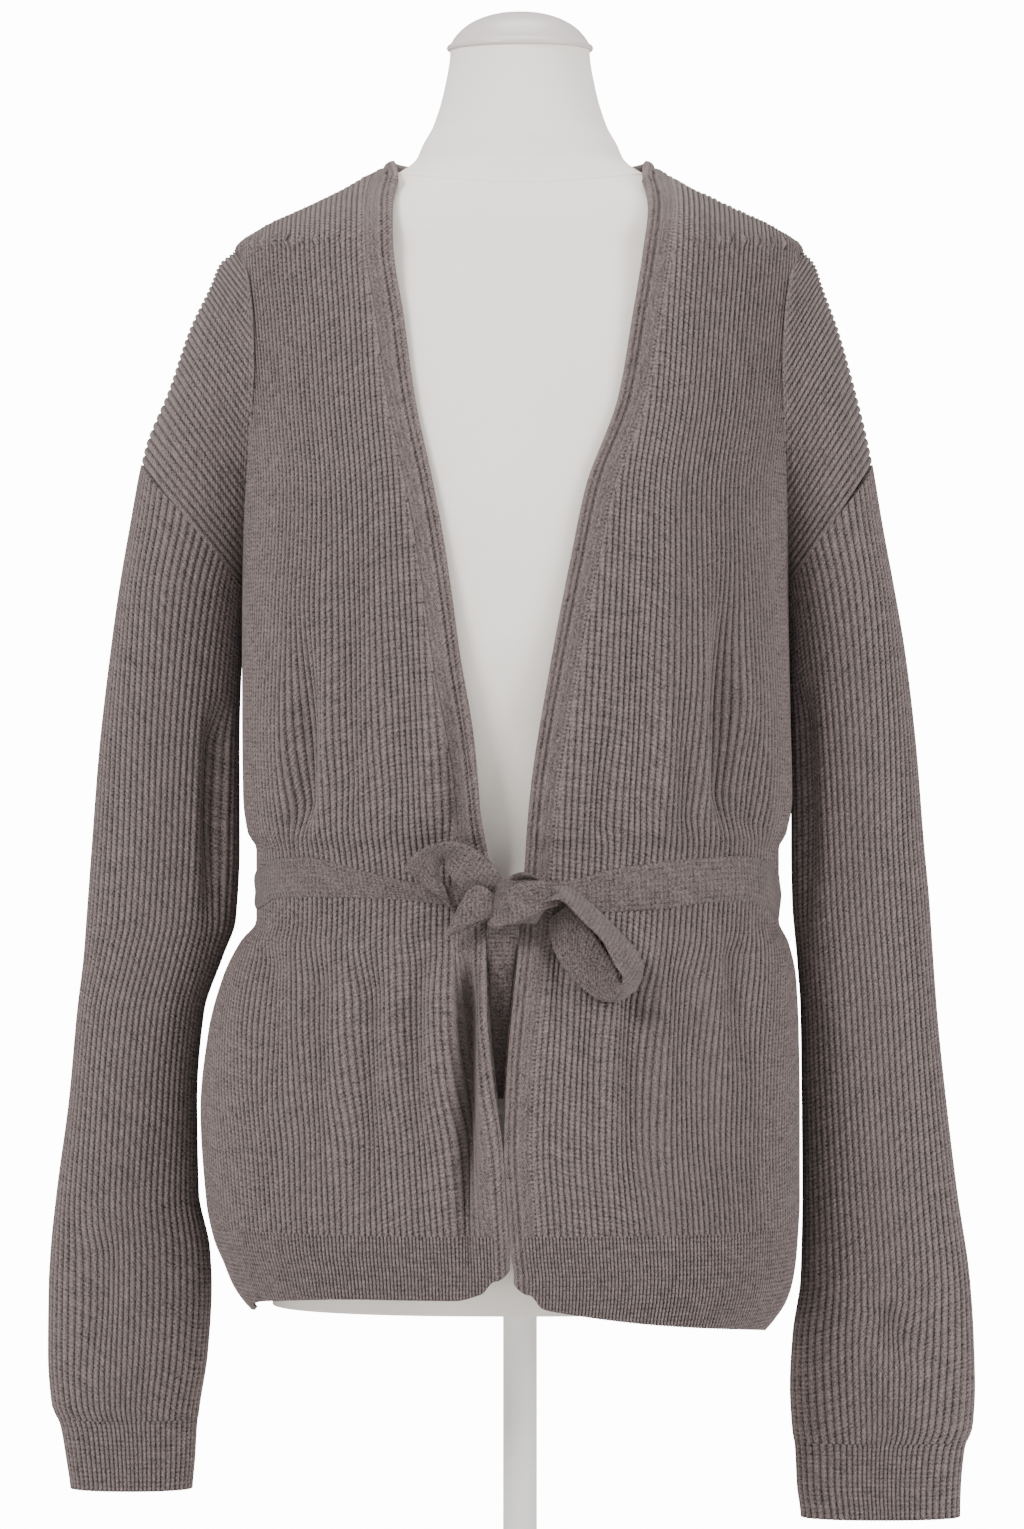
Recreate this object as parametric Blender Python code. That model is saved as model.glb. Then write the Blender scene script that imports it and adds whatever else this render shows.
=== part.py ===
"""Rib-knit tie cardigan, worn open in a deep V on a limbless dress form with a pole stand.

Metres, +Z up. The front of the cardigan faces -Y, and +X is the viewer's right. The origin is the
middle of the base plate's underside. Tables are in millimetres.
"""
import math
from collections import namedtuple

import bpy
import bmesh
from mathutils import Vector

MM = 0.001

# Driving dimensions
KNIT_WALL = 2.0 * MM
BELT_WALL = 1.6 * MM
SEAM_GAP = 0.3 * MM
BELT_LIFT = 0.4 * MM
BAND_WIDTH = 8 * MM
BAND_WALL = 2.6 * MM
BELT_HEIGHT = 380 * MM
SHOULDER_TIP = 714.7 * MM
ARMPIT = 534.5 * MM
SLEEVE_CAP = 601 * MM
OVAL_POWER = 2.4
SLEEVE_POWER = 2.2
FOLD_REACH = 1.6
FOLD_END = 0.22
SIDE_REACH = 0.98
FORM_BOTTOM = 157 * MM
POLE_RADIUS = 9 * MM
BASE_RADIUS = 140 * MM
BASE_THICKNESS = 12 * MM

LEFT = -1
RIGHT = 1
FRONT = -1
BACK = 1

# The form's level sections: half width, and depth in front of and behind the middle
FormRow = namedtuple("FormRow", "z half_width front back")
FORM = [
    FormRow(157, 131, 91, 90),
    FormRow(175, 134, 93, 94),
    FormRow(225, 135, 94, 97),
    FormRow(290, 129, 91, 90),
    FormRow(345, 118, 86, 78),
    FormRow(385, 112, 82, 71),
    FormRow(450, 119, 92, 74),
    FormRow(520, 127, 110, 80),
    FormRow(570, 131, 116, 84),
    FormRow(630, 135, 107, 86),
    FormRow(672, 139, 96, 83),
    FormRow(695, 138, 86, 77),
    FormRow(710, 133, 79, 71),
    FormRow(721, 126, 75, 69),
    FormRow(733, 110, 68.5, 65),
    FormRow(743, 89.6, 61, 60),
    FormRow(753, 67.6, 51.3, 52.3),
    FormRow(762, 55.2, 46.4, 48.4),
    FormRow(770, 51.5, 46, 48),
    FormRow(780, 46, 43.5, 45),
    FormRow(800, 40, 39.5, 40),
    FormRow(820, 37, 37, 37),
]

# The cardigan's body, outer face: half widths to the viewer's left and right, depths front and back
BodyRow = namedtuple("BodyRow", "z left right front back")
BODY = [
    BodyRow(140, 128, 127, 111, 107),
    BodyRow(150, 135, 134, 112, 108),
    BodyRow(158, 144, 139.5, 113, 110),
    BodyRow(168, 151, 143, 115, 112),
    BodyRow(180, 156, 145, 116, 113),
    BodyRow(192, 161, 146, 117, 114),
    BodyRow(212, 165, 147, 117, 114),
    BodyRow(260, 168, 147, 115, 112),
    BodyRow(300, 164, 146.5, 111, 107),
    BodyRow(330, 156, 145, 106, 100),
    BodyRow(348, 147, 141, 101, 93),
    BodyRow(359, 138.5, 136, 98, 90),
    BodyRow(380, 138.5, 136, 98, 90),
    BodyRow(398, 138.5, 136, 98, 90),
    BodyRow(406, 143, 140, 102, 94),
    BodyRow(425, 145.5, 143, 107, 97),
    BodyRow(470, 146, 142, 112, 98),
    BodyRow(534.5, 146, 141, 119, 97),
    BodyRow(570, 146.5, 142, 121, 96),
    BodyRow(630, 147, 145, 111, 93),
    BodyRow(672, 149, 148, 101.5, 89),
    BodyRow(698, 150.5, 149.5, 93, 84),
    BodyRow(714.7, 150, 149, 87, 80),
    BodyRow(725.3, 136.5, 134.5, 81.5, 77),
    BodyRow(735.9, 114, 112, 74, 71),
    BodyRow(746.5, 92, 90.5, 66, 66),
    BodyRow(757, 74, 73, 58.5, 60),
    BodyRow(763, 64.5, 64.5, 54.5, 57),
    BodyRow(769, 58.5, 59, 51.5, 54.5),
]

# The sleeves' level sections: outer and inner edge from the middle, half depth, and how far the
# middle of the section lies behind Y = 0
SleeveRow = namedtuple("SleeveRow", "z outer inner half_depth behind")
LEFT_SLEEVE = [
    SleeveRow(55, 237.5, 174.5, 21, 4),
    SleeveRow(75, 240, 173, 22, 4),
    SleeveRow(92, 243, 172, 23, 4),
    SleeveRow(104, 247.5, 170.5, 26, 4),
    SleeveRow(130, 249.3, 166.5, 29, 4),
    SleeveRow(165, 249, 164.5, 30, 5),
    SleeveRow(185, 248, 165.5, 30, 6),
    SleeveRow(215, 245, 171.5, 30, 8),
    SleeveRow(265, 238.5, 172.5, 31, 10),
    SleeveRow(310, 234.5, 169, 31, 12),
    SleeveRow(340, 231, 159, 31, 13),
    SleeveRow(360, 229.5, 152, 31, 13),
    SleeveRow(400, 226.5, 150, 31, 12),
    SleeveRow(450, 222.5, 150, 32, 10),
    SleeveRow(500, 216.5, 148.5, 35, 6),
    SleeveRow(534.5, 211.5, 146, 39, 3),
    SleeveRow(566, 206, 137, 43, 1),
    SleeveRow(609, 197.5, 127, 49, 0),
    SleeveRow(640, 185, 122, 50, 0),
    SleeveRow(672, 174, 118, 46, 0),
    SleeveRow(694, 163.5, 116, 40, 0),
    SleeveRow(714.7, 150, 112, 28, 0),
]
RIGHT_SLEEVE = [
    SleeveRow(43, 232.5, 149.5, 21, 2),
    SleeveRow(60, 233, 147.5, 22, 2),
    SleeveRow(80, 235, 146.5, 23, 2),
    SleeveRow(92, 239, 145, 26, 2),
    SleeveRow(112, 240.2, 144, 28, 2),
    SleeveRow(140, 239.5, 145.5, 30, 3),
    SleeveRow(170, 237.5, 149.8, 30, 4),
    SleeveRow(215, 231, 150.8, 30, 5),
    SleeveRow(265, 225, 150.5, 30, 6),
    SleeveRow(310, 220.5, 150, 30, 8),
    SleeveRow(340, 218.3, 148, 30, 8),
    SleeveRow(370, 216.3, 145.5, 30, 8),
    SleeveRow(400, 213.5, 145, 30, 8),
    SleeveRow(450, 209.5, 145, 32, 8),
    SleeveRow(500, 203.5, 143.5, 35, 5),
    SleeveRow(534.5, 197.5, 141, 39, 3),
    SleeveRow(566, 191.5, 134, 43, 1),
    SleeveRow(609, 184, 126, 49, 0),
    SleeveRow(640, 176.5, 121, 50, 0),
    SleeveRow(672, 167.5, 117, 46, 0),
    SleeveRow(694, 159.5, 115, 40, 0),
    SleeveRow(714.7, 149, 111, 28, 0),
]

# The open front: how far each front's edge lies to the right of the middle, at each height
EdgeRow = namedtuple("EdgeRow", "z left right")
EDGES = [
    EdgeRow(140, -6, -2),
    EdgeRow(176, -6, -1.5),
    EdgeRow(190, -6.2, -2),
    EdgeRow(212, -7, -5.4),
    EdgeRow(245, -9.4, -7.8),
    EdgeRow(280, -13.5, -7),
    EdgeRow(320, -16.5, -3.7),
    EdgeRow(350, -17.5, -0.5),
    EdgeRow(385, -15.5, 2),
    EdgeRow(414, -20, 4),
    EdgeRow(434, -22, 6),
    EdgeRow(495, -30.5, 16),
    EdgeRow(552, -38.5, 27),
    EdgeRow(585, -44.5, 34),
    EdgeRow(632, -54.5, 51),
    EdgeRow(675, -60.5, 58.5),
    EdgeRow(712, -66, 64.5),
    EdgeRow(734, -66.5, 67),
    EdgeRow(748, -64.5, 65),
    EdgeRow(757, -61, 62),
    EdgeRow(763, -57, 58),
    EdgeRow(769, -54, 55),
]

# The hem's height from each side seam to the front edge, whose corner is rounded
HemRow = namedtuple("HemRow", "share left right back")
HEM = [
    HemRow(0.0, 180, 172, 150),
    HemRow(0.04, 170, 163, 150),
    HemRow(0.12, 167, 160, 150),
    HemRow(0.35, 167, 154, 150),
    HemRow(0.70, 164, 148, 150),
    HemRow(1.0, 153, 143, 150),
]

# The largest folds, as troughs: place across at the top and bottom end, height of both ends,
# depth of the trough and half its width
Fold = namedtuple("Fold", "x_top x_bottom top bottom depth half_width")
FRONT_FOLDS = [
    Fold(-112, -116, 470, 402, 7, 9),
    Fold(-90, -92, 560, 420, 3, 10),
    Fold(-34, -33, 480, 404, 5, 9),
    Fold(-82, -83, 330, 190, 5, 11),
    Fold(-26, -31, 356, 182, 7, 10),
    Fold(-132, -128, 356, 250, 4, 10),
    Fold(104, 107, 520, 402, 8, 9),
    Fold(88, 90, 450, 404, 4, 8),
    Fold(44, 42, 450, 404, 4, 8),
    Fold(60, 61, 330, 184, 7, 11),
    Fold(22, 20, 356, 290, 6, 9),
    Fold(112, 116, 358, 270, 4, 9),
]
BACK_FOLDS = [
    Fold(-104, -112, 560, 404, 6, 11),
    Fold(-58, -64, 480, 402, 5, 10),
    Fold(-12, -8, 460, 404, 4, 10),
    Fold(46, 50, 490, 402, 6, 10),
    Fold(98, 104, 570, 404, 6, 11),
    Fold(-88, -96, 357, 215, 6, 12),
    Fold(-30, -34, 357, 240, 5, 11),
    Fold(34, 40, 357, 205, 6, 12),
    Fold(92, 98, 357, 230, 5, 11),
]
# On the sleeves the place is the angle round the tube, 0 at the front and 90 at the outer edge
LEFT_SLEEVE_FOLDS = [
    Fold(-46, -52, 480, 330, 7, 13),
    Fold(20, 30, 200, 110, 3, 22),
    Fold(150, 160, 520, 300, 4, 18),
]
RIGHT_SLEEVE_FOLDS = [
    Fold(-10, 30, 160, 118, 4, 20),
    Fold(-50, -58, 500, 320, 4, 14),
    Fold(160, 150, 520, 280, 4, 18),
]

# Heights of the grid's rows: the body below its top point, and the dropped shoulder
BODY_TOP = 755.5
BODY_ROWS = [750, 743, 735.9, 725.3, 714.7, 708, 696, 678, 655, 630, 602, 575, 552, 534.5,
             505, 475, 448, 425, 410, 402, 397, 360, 354, 342, 325, 295, 260, 225, 200]
CAP_ROWS = [714.7, 708, 696, 678, 655, 630, 602, 575, 552, 534.5]
NECK_EDGE = 761.5
HEM_STEPS = 3
FRONT_COLUMNS = 17
BACK_COLUMNS = 26
CAP_COLUMNS = 7

# The rings of each sleeve, as the heights of their inner and outer edge
SleeveRing = namedtuple("SleeveRing", "inner outer")
LEFT_RINGS = [SleeveRing(515, 572), SleeveRing(490, 538), SleeveRing(462, 500),
              SleeveRing(435, 462), SleeveRing(405, 424), SleeveRing(378, 390),
              SleeveRing(350, 358), SleeveRing(325, 330), SleeveRing(290, 292),
              SleeveRing(250, 250), SleeveRing(215, 215), SleeveRing(180, 180),
              SleeveRing(150, 150), SleeveRing(126, 126), SleeveRing(106, 106),
              SleeveRing(97, 95)]
RIGHT_RINGS = LEFT_RINGS[:-3] + [SleeveRing(130, 130), SleeveRing(108, 108),
                                 SleeveRing(93, 93), SleeveRing(85, 82)]
LEFT_CUFF = [SleeveRing(83, 81), SleeveRing(62, 56)]
RIGHT_CUFF = [SleeveRing(66, 64), SleeveRing(44, 43)]


def clear_scene():
    for thing in list(bpy.data.objects):
        bpy.data.objects.remove(thing, do_unlink=True)


def material(name, colour, roughness):
    made = bpy.data.materials.new(name)
    made.use_nodes = True
    shader = made.node_tree.nodes["Principled BSDF"]
    shader.inputs["Base Color"].default_value = (*colour, 1)
    shader.inputs["Roughness"].default_value = roughness
    shader.inputs["Metallic"].default_value = 0
    made.diffuse_color = (*colour, 1)
    return made


def at(rows, where, column):
    """A column's value, in metres, on a smooth curve through the table that never overshoots."""
    table = sorted(rows, key=lambda row: row[0])
    steps = [row[0] for row in table]
    values = [getattr(row, column) for row in table]
    if where <= steps[0]:
        return values[0] * MM
    if where >= steps[-1]:
        return values[-1] * MM
    i = max(k for k in range(len(steps) - 1) if steps[k] <= where)

    def slope(k):
        if k <= 0 or k >= len(steps) - 1:
            return 0.0
        before = (values[k] - values[k - 1]) / (steps[k] - steps[k - 1])
        after = (values[k + 1] - values[k]) / (steps[k + 1] - steps[k])
        if before * after <= 0:
            return 0.0
        return 2 * before * after / (before + after)

    run = steps[i + 1] - steps[i]
    t = (where - steps[i]) / run
    value = (values[i] * (1 + 2 * t) * (1 - t) ** 2 + slope(i) * run * t * (1 - t) ** 2
             + values[i + 1] * t * t * (3 - 2 * t) + slope(i + 1) * run * t * t * (t - 1))
    return value * MM


def ease(t):
    t = min(max(t, 0.0), 1.0)
    return t * t * (3 - 2 * t)


def oval(angle, half_width, half_depth, power):
    """A point on an oval round (0, 0). Angle 0 is the front, 90 degrees the side at +X."""
    s = math.sin(angle)
    c = math.cos(angle)
    reach = (abs(s / half_width) ** power + abs(c / half_depth) ** power) ** (-1 / power)
    return reach * s, -reach * c


def trough(folds, place, z):
    """How deep the folds of one face are at this place and height."""
    depth = 0.0
    for fold in folds:
        span = fold.top - fold.bottom
        along = (fold.top - z / MM) / span
        if not 0 < along < 1:
            continue
        middle = fold.x_top + (fold.x_bottom - fold.x_top) * along
        beside = (place - middle) / fold.half_width
        if abs(beside) < FOLD_REACH:
            ends = ease(along / FOLD_END) * ease((1 - along) / FOLD_END)
            across = math.cos(beside * math.pi / 2 / FOLD_REACH) ** 2
            depth += fold.depth * MM * ends * across
    return depth


def body_oval(angle, z):
    s = math.sin(angle)
    half_width = at(BODY, z / MM, "right" if s > 0 else "left")
    half_depth = at(BODY, z / MM, "front" if math.cos(angle) > 0 else "back")
    return oval(angle, half_width, half_depth, OVAL_POWER)


def body_point(angle, z, lift=0.0):
    """A point on the body's outer face, with its folds. Lift moves it outwards."""
    x, y = body_oval(angle, z)
    if math.cos(angle) > 0:
        depth = trough(FRONT_FOLDS, x / MM, z)
    else:
        depth = trough(BACK_FOLDS, x / MM, z)
    flat = abs(math.cos(angle))
    outward = Vector((math.sin(angle), -math.cos(angle) * 1.25, 0)).normalized()
    move = outward * (lift - depth * ease(flat * 3))
    return Vector((x, y, z)) + move


def sleeve_table(side):
    return LEFT_SLEEVE if side == LEFT else RIGHT_SLEEVE


def sleeve_oval(side, angle, z):
    """Angle 0 is the front, 90 degrees the outer edge, -90 the edge by the body."""
    rows = sleeve_table(side)
    outer = at(rows, z / MM, "outer")
    inner = at(rows, z / MM, "inner")
    x, y = oval(angle, (outer - inner) / 2, at(rows, z / MM, "half_depth"), SLEEVE_POWER)
    return side * (x + (outer + inner) / 2), y + at(rows, z / MM, "behind")


def sleeve_point(side, angle, z):
    x, y = sleeve_oval(side, angle, z)
    folds = LEFT_SLEEVE_FOLDS if side == LEFT else RIGHT_SLEEVE_FOLDS
    depth = trough(folds, math.degrees(angle), z)
    inward = Vector((-side * math.sin(angle), math.cos(angle), 0)) * depth
    return Vector((x, y, z)) + inward


def join_angle(side, face, z):
    """The angle on the body's section where the cap of the shoulder meets it."""
    if z <= ARMPIT + 0.05 * MM or z >= SHOULDER_TIP:
        return math.pi / 2
    rows = sleeve_table(side)
    outer = at(rows, z / MM, "outer")
    inner = at(rows, z / MM, "inner")
    middle = (outer + inner) / 2
    half = (outer - inner) / 2
    depth = at(rows, z / MM, "half_depth")
    behind = at(rows, z / MM, "behind")

    def outside(turn):
        angle = side * (turn if face == FRONT else math.pi - turn)
        x, y = body_oval(angle, z)
        across = abs((abs(x) - middle) / half)
        return across ** SLEEVE_POWER + abs((y - behind) / depth) ** SLEEVE_POWER > 1

    low = math.radians(25)
    high = math.pi / 2
    if outside(high):
        return high
    for _ in range(40):
        turn = (low + high) / 2
        if outside(turn):
            low = turn
        else:
            high = turn
    return low


def join_point(side, face, z):
    turn = join_angle(side, face, z)
    angle = side * (turn if face == FRONT else math.pi - turn)
    x, y = body_oval(angle, z)
    return Vector((x, y, z))


def cap_point(side, face, z_join, share):
    """A point on the dropped shoulder, from the join with the body to the ridge over the arm."""
    rows = sleeve_table(side)
    start = join_point(side, face, z_join)
    middle = (at(rows, z_join / MM, "outer") + at(rows, z_join / MM, "inner")) / 2
    half = (at(rows, z_join / MM, "outer") - at(rows, z_join / MM, "inner")) / 2
    depth = at(rows, z_join / MM, "half_depth")
    behind = at(rows, z_join / MM, "behind")
    forward = (start.y - behind) * face / depth
    turn = math.atan2((abs(start.x) - middle) / half, max(forward, 0.0))
    angle = turn + (math.pi / 2 - turn) * share
    fall = (SHOULDER_TIP - SLEEVE_CAP) / (SHOULDER_TIP - ARMPIT)
    z_ridge = SHOULDER_TIP - (SHOULDER_TIP - z_join) * fall
    z = z_join + (z_ridge - z_join) * share
    x, y = sleeve_oval(side, angle if face == FRONT else math.pi - angle, z)
    point = Vector((x, y, z))
    if share > 0:
        around = math.atan2(abs(x), -y if face == FRONT else y)
        bx, by = body_oval(side * (around if face == FRONT else math.pi - around), z)
        if math.hypot(bx, by) > math.hypot(x, y):
            point = Vector((bx, by, z))
    else:
        point = start
    return point


def sheet_from_rows(name, rows_of_points, wall, look):
    """A strip of cloth through a grid of points on its inner face."""
    mesh = bpy.data.meshes.new(name)
    work = bmesh.new()
    grid = [[work.verts.new(point) for point in row] for row in rows_of_points]
    for before, after in zip(grid[:-1], grid[1:]):
        for k in range(len(before) - 1):
            work.faces.new([before[k], after[k], after[k + 1], before[k + 1]])
    work.to_mesh(mesh)
    work.free()
    thing = add_object(name, mesh, look)
    thicken = thing.modifiers.new("wall", "SOLIDIFY")
    thicken.thickness = wall
    thicken.offset = 1
    return thing


def add_object(name, mesh, look):
    mesh.shade_smooth()
    thing = bpy.data.objects.new(name, mesh)
    bpy.context.scene.collection.objects.link(thing)
    thing.data.materials.append(look)
    return thing


def turn_to(side, across, z):
    """The angle of the point on the body's front that lies this far out from the middle."""
    half_width = at(BODY, z / MM, "left" if side == LEFT else "right")
    inside = min(max(across / half_width, -SIDE_REACH), SIDE_REACH)
    y = at(BODY, z / MM, "front") * (1 - abs(inside) ** OVAL_POWER) ** (1 / OVAL_POWER)
    return math.atan2(across, y)


def edge_turn(side, z):
    """The angle of a front's own edge, where the linked band begins."""
    edge = at(EDGES, z / MM, "left" if side == LEFT else "right") * side
    return turn_to(side, edge + BAND_WIDTH, z)


def front_turn(side, z, share):
    """The angle at a share of the way from a front's edge to its side seam or its shoulder cap."""
    first = edge_turn(side, z)
    return side * (first + (join_angle(side, FRONT, z) - first) * share)


def back_turn(z, share):
    """Share runs from -1 at the viewer's left side to 1 at the right."""
    side = RIGHT if share > 0 else LEFT
    return side * (math.pi - join_angle(side, BACK, z) * abs(share)) if share else math.pi


def front_row(side, z_at):
    """Points of one level row of a front, from its edge to the side. z_at gives their heights."""
    points = []
    for k in range(FRONT_COLUMNS + 1):
        share = k / FRONT_COLUMNS
        points.append(body_point(front_turn(side, z_at(share), share), z_at(share)))
    points[-1] = join_point(side, FRONT, z_at(1.0))
    return points


def back_row(z_at):
    points = []
    for k in range(BACK_COLUMNS + 1):
        share = 2 * k / BACK_COLUMNS - 1
        points.append(body_point(back_turn(z_at(abs(share)), share), z_at(abs(share))))
    points[0] = join_point(LEFT, BACK, z_at(1.0))
    points[-1] = join_point(RIGHT, BACK, z_at(1.0))
    return points


def hem_rows(column):
    """The hem rib's rows: each gives the height at a share of the way to the side seam."""
    top = BODY_ROWS[-1] * MM
    rows = []
    for k in range(1, HEM_STEPS + 1):
        part = k / HEM_STEPS
        rows.append(lambda share, part=part: top + (at(HEM, share, column) - top) * part)
    return rows


def band_pair(side, z, outer):
    """The band's two edges at a front: the front's own edge, and the open one."""
    edge = at(EDGES, z / MM, "left" if side == LEFT else "right") * side
    return [outer, body_point(side * turn_to(side, edge, z), z)]


def sleeve_ring(side, ring):
    """A ring round the sleeve, from the armpit over the front to the outer edge and back."""
    points = []
    for k in range(2 * CAP_COLUMNS):
        angle = -math.pi / 2 + math.pi * k / CAP_COLUMNS
        share = 1 - abs(k / CAP_COLUMNS - 1)
        z = (ring.inner + (ring.outer - ring.inner) * share) * MM
        points.append(sleeve_point(side, angle, z))
    return points


PIECES = ["left_front", "right_front", "back", "hem_left", "hem_right", "hem_back", "left_sleeve",
          "right_sleeve", "left_cuff", "right_cuff", "front_band"]


class Surface:
    """The garment's whole outer face, with a piece's name on each of its faces."""

    def __init__(self):
        self.work = bmesh.new()
        self.tag = self.work.faces.layers.int.new("piece")

    def face(self, piece, corners, flip):
        corners = [self.work.verts.new(point) for point in corners]
        made = self.work.faces.new(corners[::-1] if flip else corners)
        made[self.tag] = PIECES.index(piece)

    def grid(self, piece, upper_rows, flip, close=False):
        """Rows run from top to bottom, and each row to the viewer's right on a front face."""
        for upper, lower in zip(upper_rows[:-1], upper_rows[1:]):
            count = len(lower)
            for k in range(count if close else count - 1):
                m = (k + 1) % count
                if len(upper) == 1:
                    self.face(piece, [lower[k], lower[m], upper[0]], flip)
                else:
                    self.face(piece, [lower[k], lower[m], upper[m], upper[k]], flip)

    def cut(self, name, wall, look):
        """One piece, cut free at its seams and given its wall inside the face."""
        chosen = [face for face in self.work.faces if face[self.tag] == PIECES.index(name)]
        inside = set(chosen)
        solid = bmesh.new()
        outer = {}
        inner = {}
        for face in chosen:
            for vert in face.verts:
                if vert in outer:
                    continue
                own = [other for other in vert.link_faces if other in inside]
                rim = any(sum(f in inside for f in edge.link_faces) == 1
                          for edge in vert.link_edges)
                place = vert.co.copy()
                if rim:
                    middle = sum((f.calc_center_median() for f in own), Vector()) / len(own)
                    place += (middle - vert.co).normalized() * SEAM_GAP * 0.6
                outer[vert] = solid.verts.new(place)
                inner[vert] = solid.verts.new(place - vert.normal * wall)
        for face in chosen:
            solid.faces.new([outer[vert] for vert in face.verts])
            solid.faces.new([inner[vert] for vert in reversed(face.verts)])
            for loop in face.loops:
                if sum(f in inside for f in loop.edge.link_faces) == 1:
                    a = loop.vert
                    b = loop.link_loop_next.vert
                    # Both pieces at a seam split its rim along the same diagonal
                    if a.index < b.index:
                        solid.faces.new([outer[b], outer[a], inner[b]])
                        solid.faces.new([outer[a], inner[a], inner[b]])
                    else:
                        solid.faces.new([outer[b], outer[a], inner[a]])
                        solid.faces.new([outer[b], inner[a], inner[b]])
        mesh = bpy.data.meshes.new(name)
        solid.to_mesh(mesh)
        solid.free()
        return add_object(name, mesh, look)


def garment_surface():
    surface = Surface()
    levels = [lambda share, z=z: z * MM for z in BODY_ROWS]
    back_rows = [back_row(lambda share: BODY_TOP * MM)] + [back_row(z_at) for z_at in levels]
    surface.grid("back", back_rows, flip=True)
    surface.grid("hem_back", back_rows[-1:] + [back_row(z_at) for z_at in hem_rows("back")], True)

    neck = [body_point(back_turn(NECK_EDGE * MM, 2 * k / BACK_COLUMNS - 1), NECK_EDGE * MM)
            for k in range(BACK_COLUMNS + 1)]
    surface.grid("front_band", [neck, back_rows[0]], flip=True)

    for side, name in ((LEFT, "left"), (RIGHT, "right")):
        flip = side == LEFT
        top = join_point(side, FRONT, BODY_TOP * MM)
        rows = [front_row(side, z_at) for z_at in levels]
        hem = [front_row(side, z_at) for z_at in hem_rows(name)]
        surface.grid(name + "_front", [[top]] + rows, flip)
        surface.grid("hem_" + name, rows[-1:] + hem, flip)

        pairs = [[top, neck[0] if side == LEFT else neck[-1]]]
        pairs += [band_pair(side, row[0].z, row[0]) for row in rows]
        pairs += [band_pair(side, row[0].z + 1.5 * MM * i, row[0]) for i, row in enumerate(hem)]
        surface.grid("front_band", pairs, flip=not flip)

        for face, piece in ((FRONT, name + "_front"), (BACK, "back")):
            cap = [[cap_point(side, face, z * MM, k / CAP_COLUMNS)
                    for k in range(CAP_COLUMNS + 1)] for z in CAP_ROWS[1:]]
            start = join_point(side, face, CAP_ROWS[0] * MM)
            surface.grid(piece, [[start]] + cap, flip=flip == (face == FRONT))
            if face == FRONT:
                ring = cap[-1]
            else:
                ring = ring + cap[-1][-2:0:-1]
        rings = LEFT_RINGS if side == LEFT else RIGHT_RINGS
        cuff = LEFT_CUFF if side == LEFT else RIGHT_CUFF
        sleeve = [ring] + [sleeve_ring(side, heights) for heights in rings]
        surface.grid(name + "_sleeve", sleeve, flip, close=True)
        cuff_rows = sleeve[-1:] + [sleeve_ring(side, heights) for heights in cuff]
        surface.grid(name + "_cuff", cuff_rows, flip, close=True)

    bmesh.ops.remove_doubles(surface.work, verts=surface.work.verts, dist=0.05 * MM)
    surface.work.normal_update()
    surface.work.verts.index_update()
    return surface


def dress_form(look, cap_look, steel_look):
    rows = []
    sides = 32
    for row in FORM:
        ring = []
        for k in range(sides):
            angle = 2 * math.pi * k / sides
            depth = row.front if math.cos(angle) > 0 else row.back
            power = 2.0 if row.z > 765 else OVAL_POWER
            x, y = oval(angle, row.half_width * MM, depth * MM, power)
            ring.append(Vector((x, y, row.z * MM)))
        rows.append(ring)
    mesh = bpy.data.meshes.new("form")
    work = bmesh.new()
    grid = [[work.verts.new(point) for point in row] for row in rows]
    for lower, upper in zip(grid[:-1], grid[1:]):
        for k in range(sides):
            work.faces.new([lower[k], lower[(k + 1) % sides], upper[(k + 1) % sides], upper[k]])
    work.faces.new(grid[0][::-1])
    work.faces.new(grid[-1])
    work.to_mesh(mesh)
    work.free()
    add_object("form", mesh, look)

    # The cap: a thin rim and a low dome
    CapRow = namedtuple("CapRow", "z radius")
    cap = [CapRow(820.3, 35), CapRow(820.3, 38.4), CapRow(821.2, 38.8), CapRow(822.6, 38.4),
           CapRow(824, 36.6), CapRow(829, 33), CapRow(834.5, 26.5), CapRow(838.4, 18),
           CapRow(840.4, 9)]
    turned("neck_cap", [(row.radius * MM, row.z * MM) for row in cap], 36, cap_look)
    turned("pole", [(POLE_RADIUS, BASE_THICKNESS + SEAM_GAP), (POLE_RADIUS, FORM_BOTTOM - SEAM_GAP)],
           24, steel_look)
    rim = 3 * MM
    turned("base_plate", [(BASE_RADIUS, 0), (BASE_RADIUS, BASE_THICKNESS - rim),
                          (BASE_RADIUS - 1 * MM, BASE_THICKNESS - 1 * MM),
                          (BASE_RADIUS - rim, BASE_THICKNESS)], 48, steel_look)


def turned(name, profile, sides, look):
    """A solid turned round the Z axis, through (radius, height) points from bottom to top."""
    mesh = bpy.data.meshes.new(name)
    work = bmesh.new()
    rings = []
    for radius, z in profile:
        rings.append([work.verts.new((radius * math.sin(2 * math.pi * k / sides),
                                      -radius * math.cos(2 * math.pi * k / sides), z))
                      for k in range(sides)])
    for lower, upper in zip(rings[:-1], rings[1:]):
        for k in range(sides):
            work.faces.new([lower[k], lower[(k + 1) % sides], upper[(k + 1) % sides], upper[k]])
    work.faces.new(rings[0][::-1])
    work.faces.new(rings[-1])
    work.to_mesh(mesh)
    work.free()
    add_object(name, mesh, look)


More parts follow.
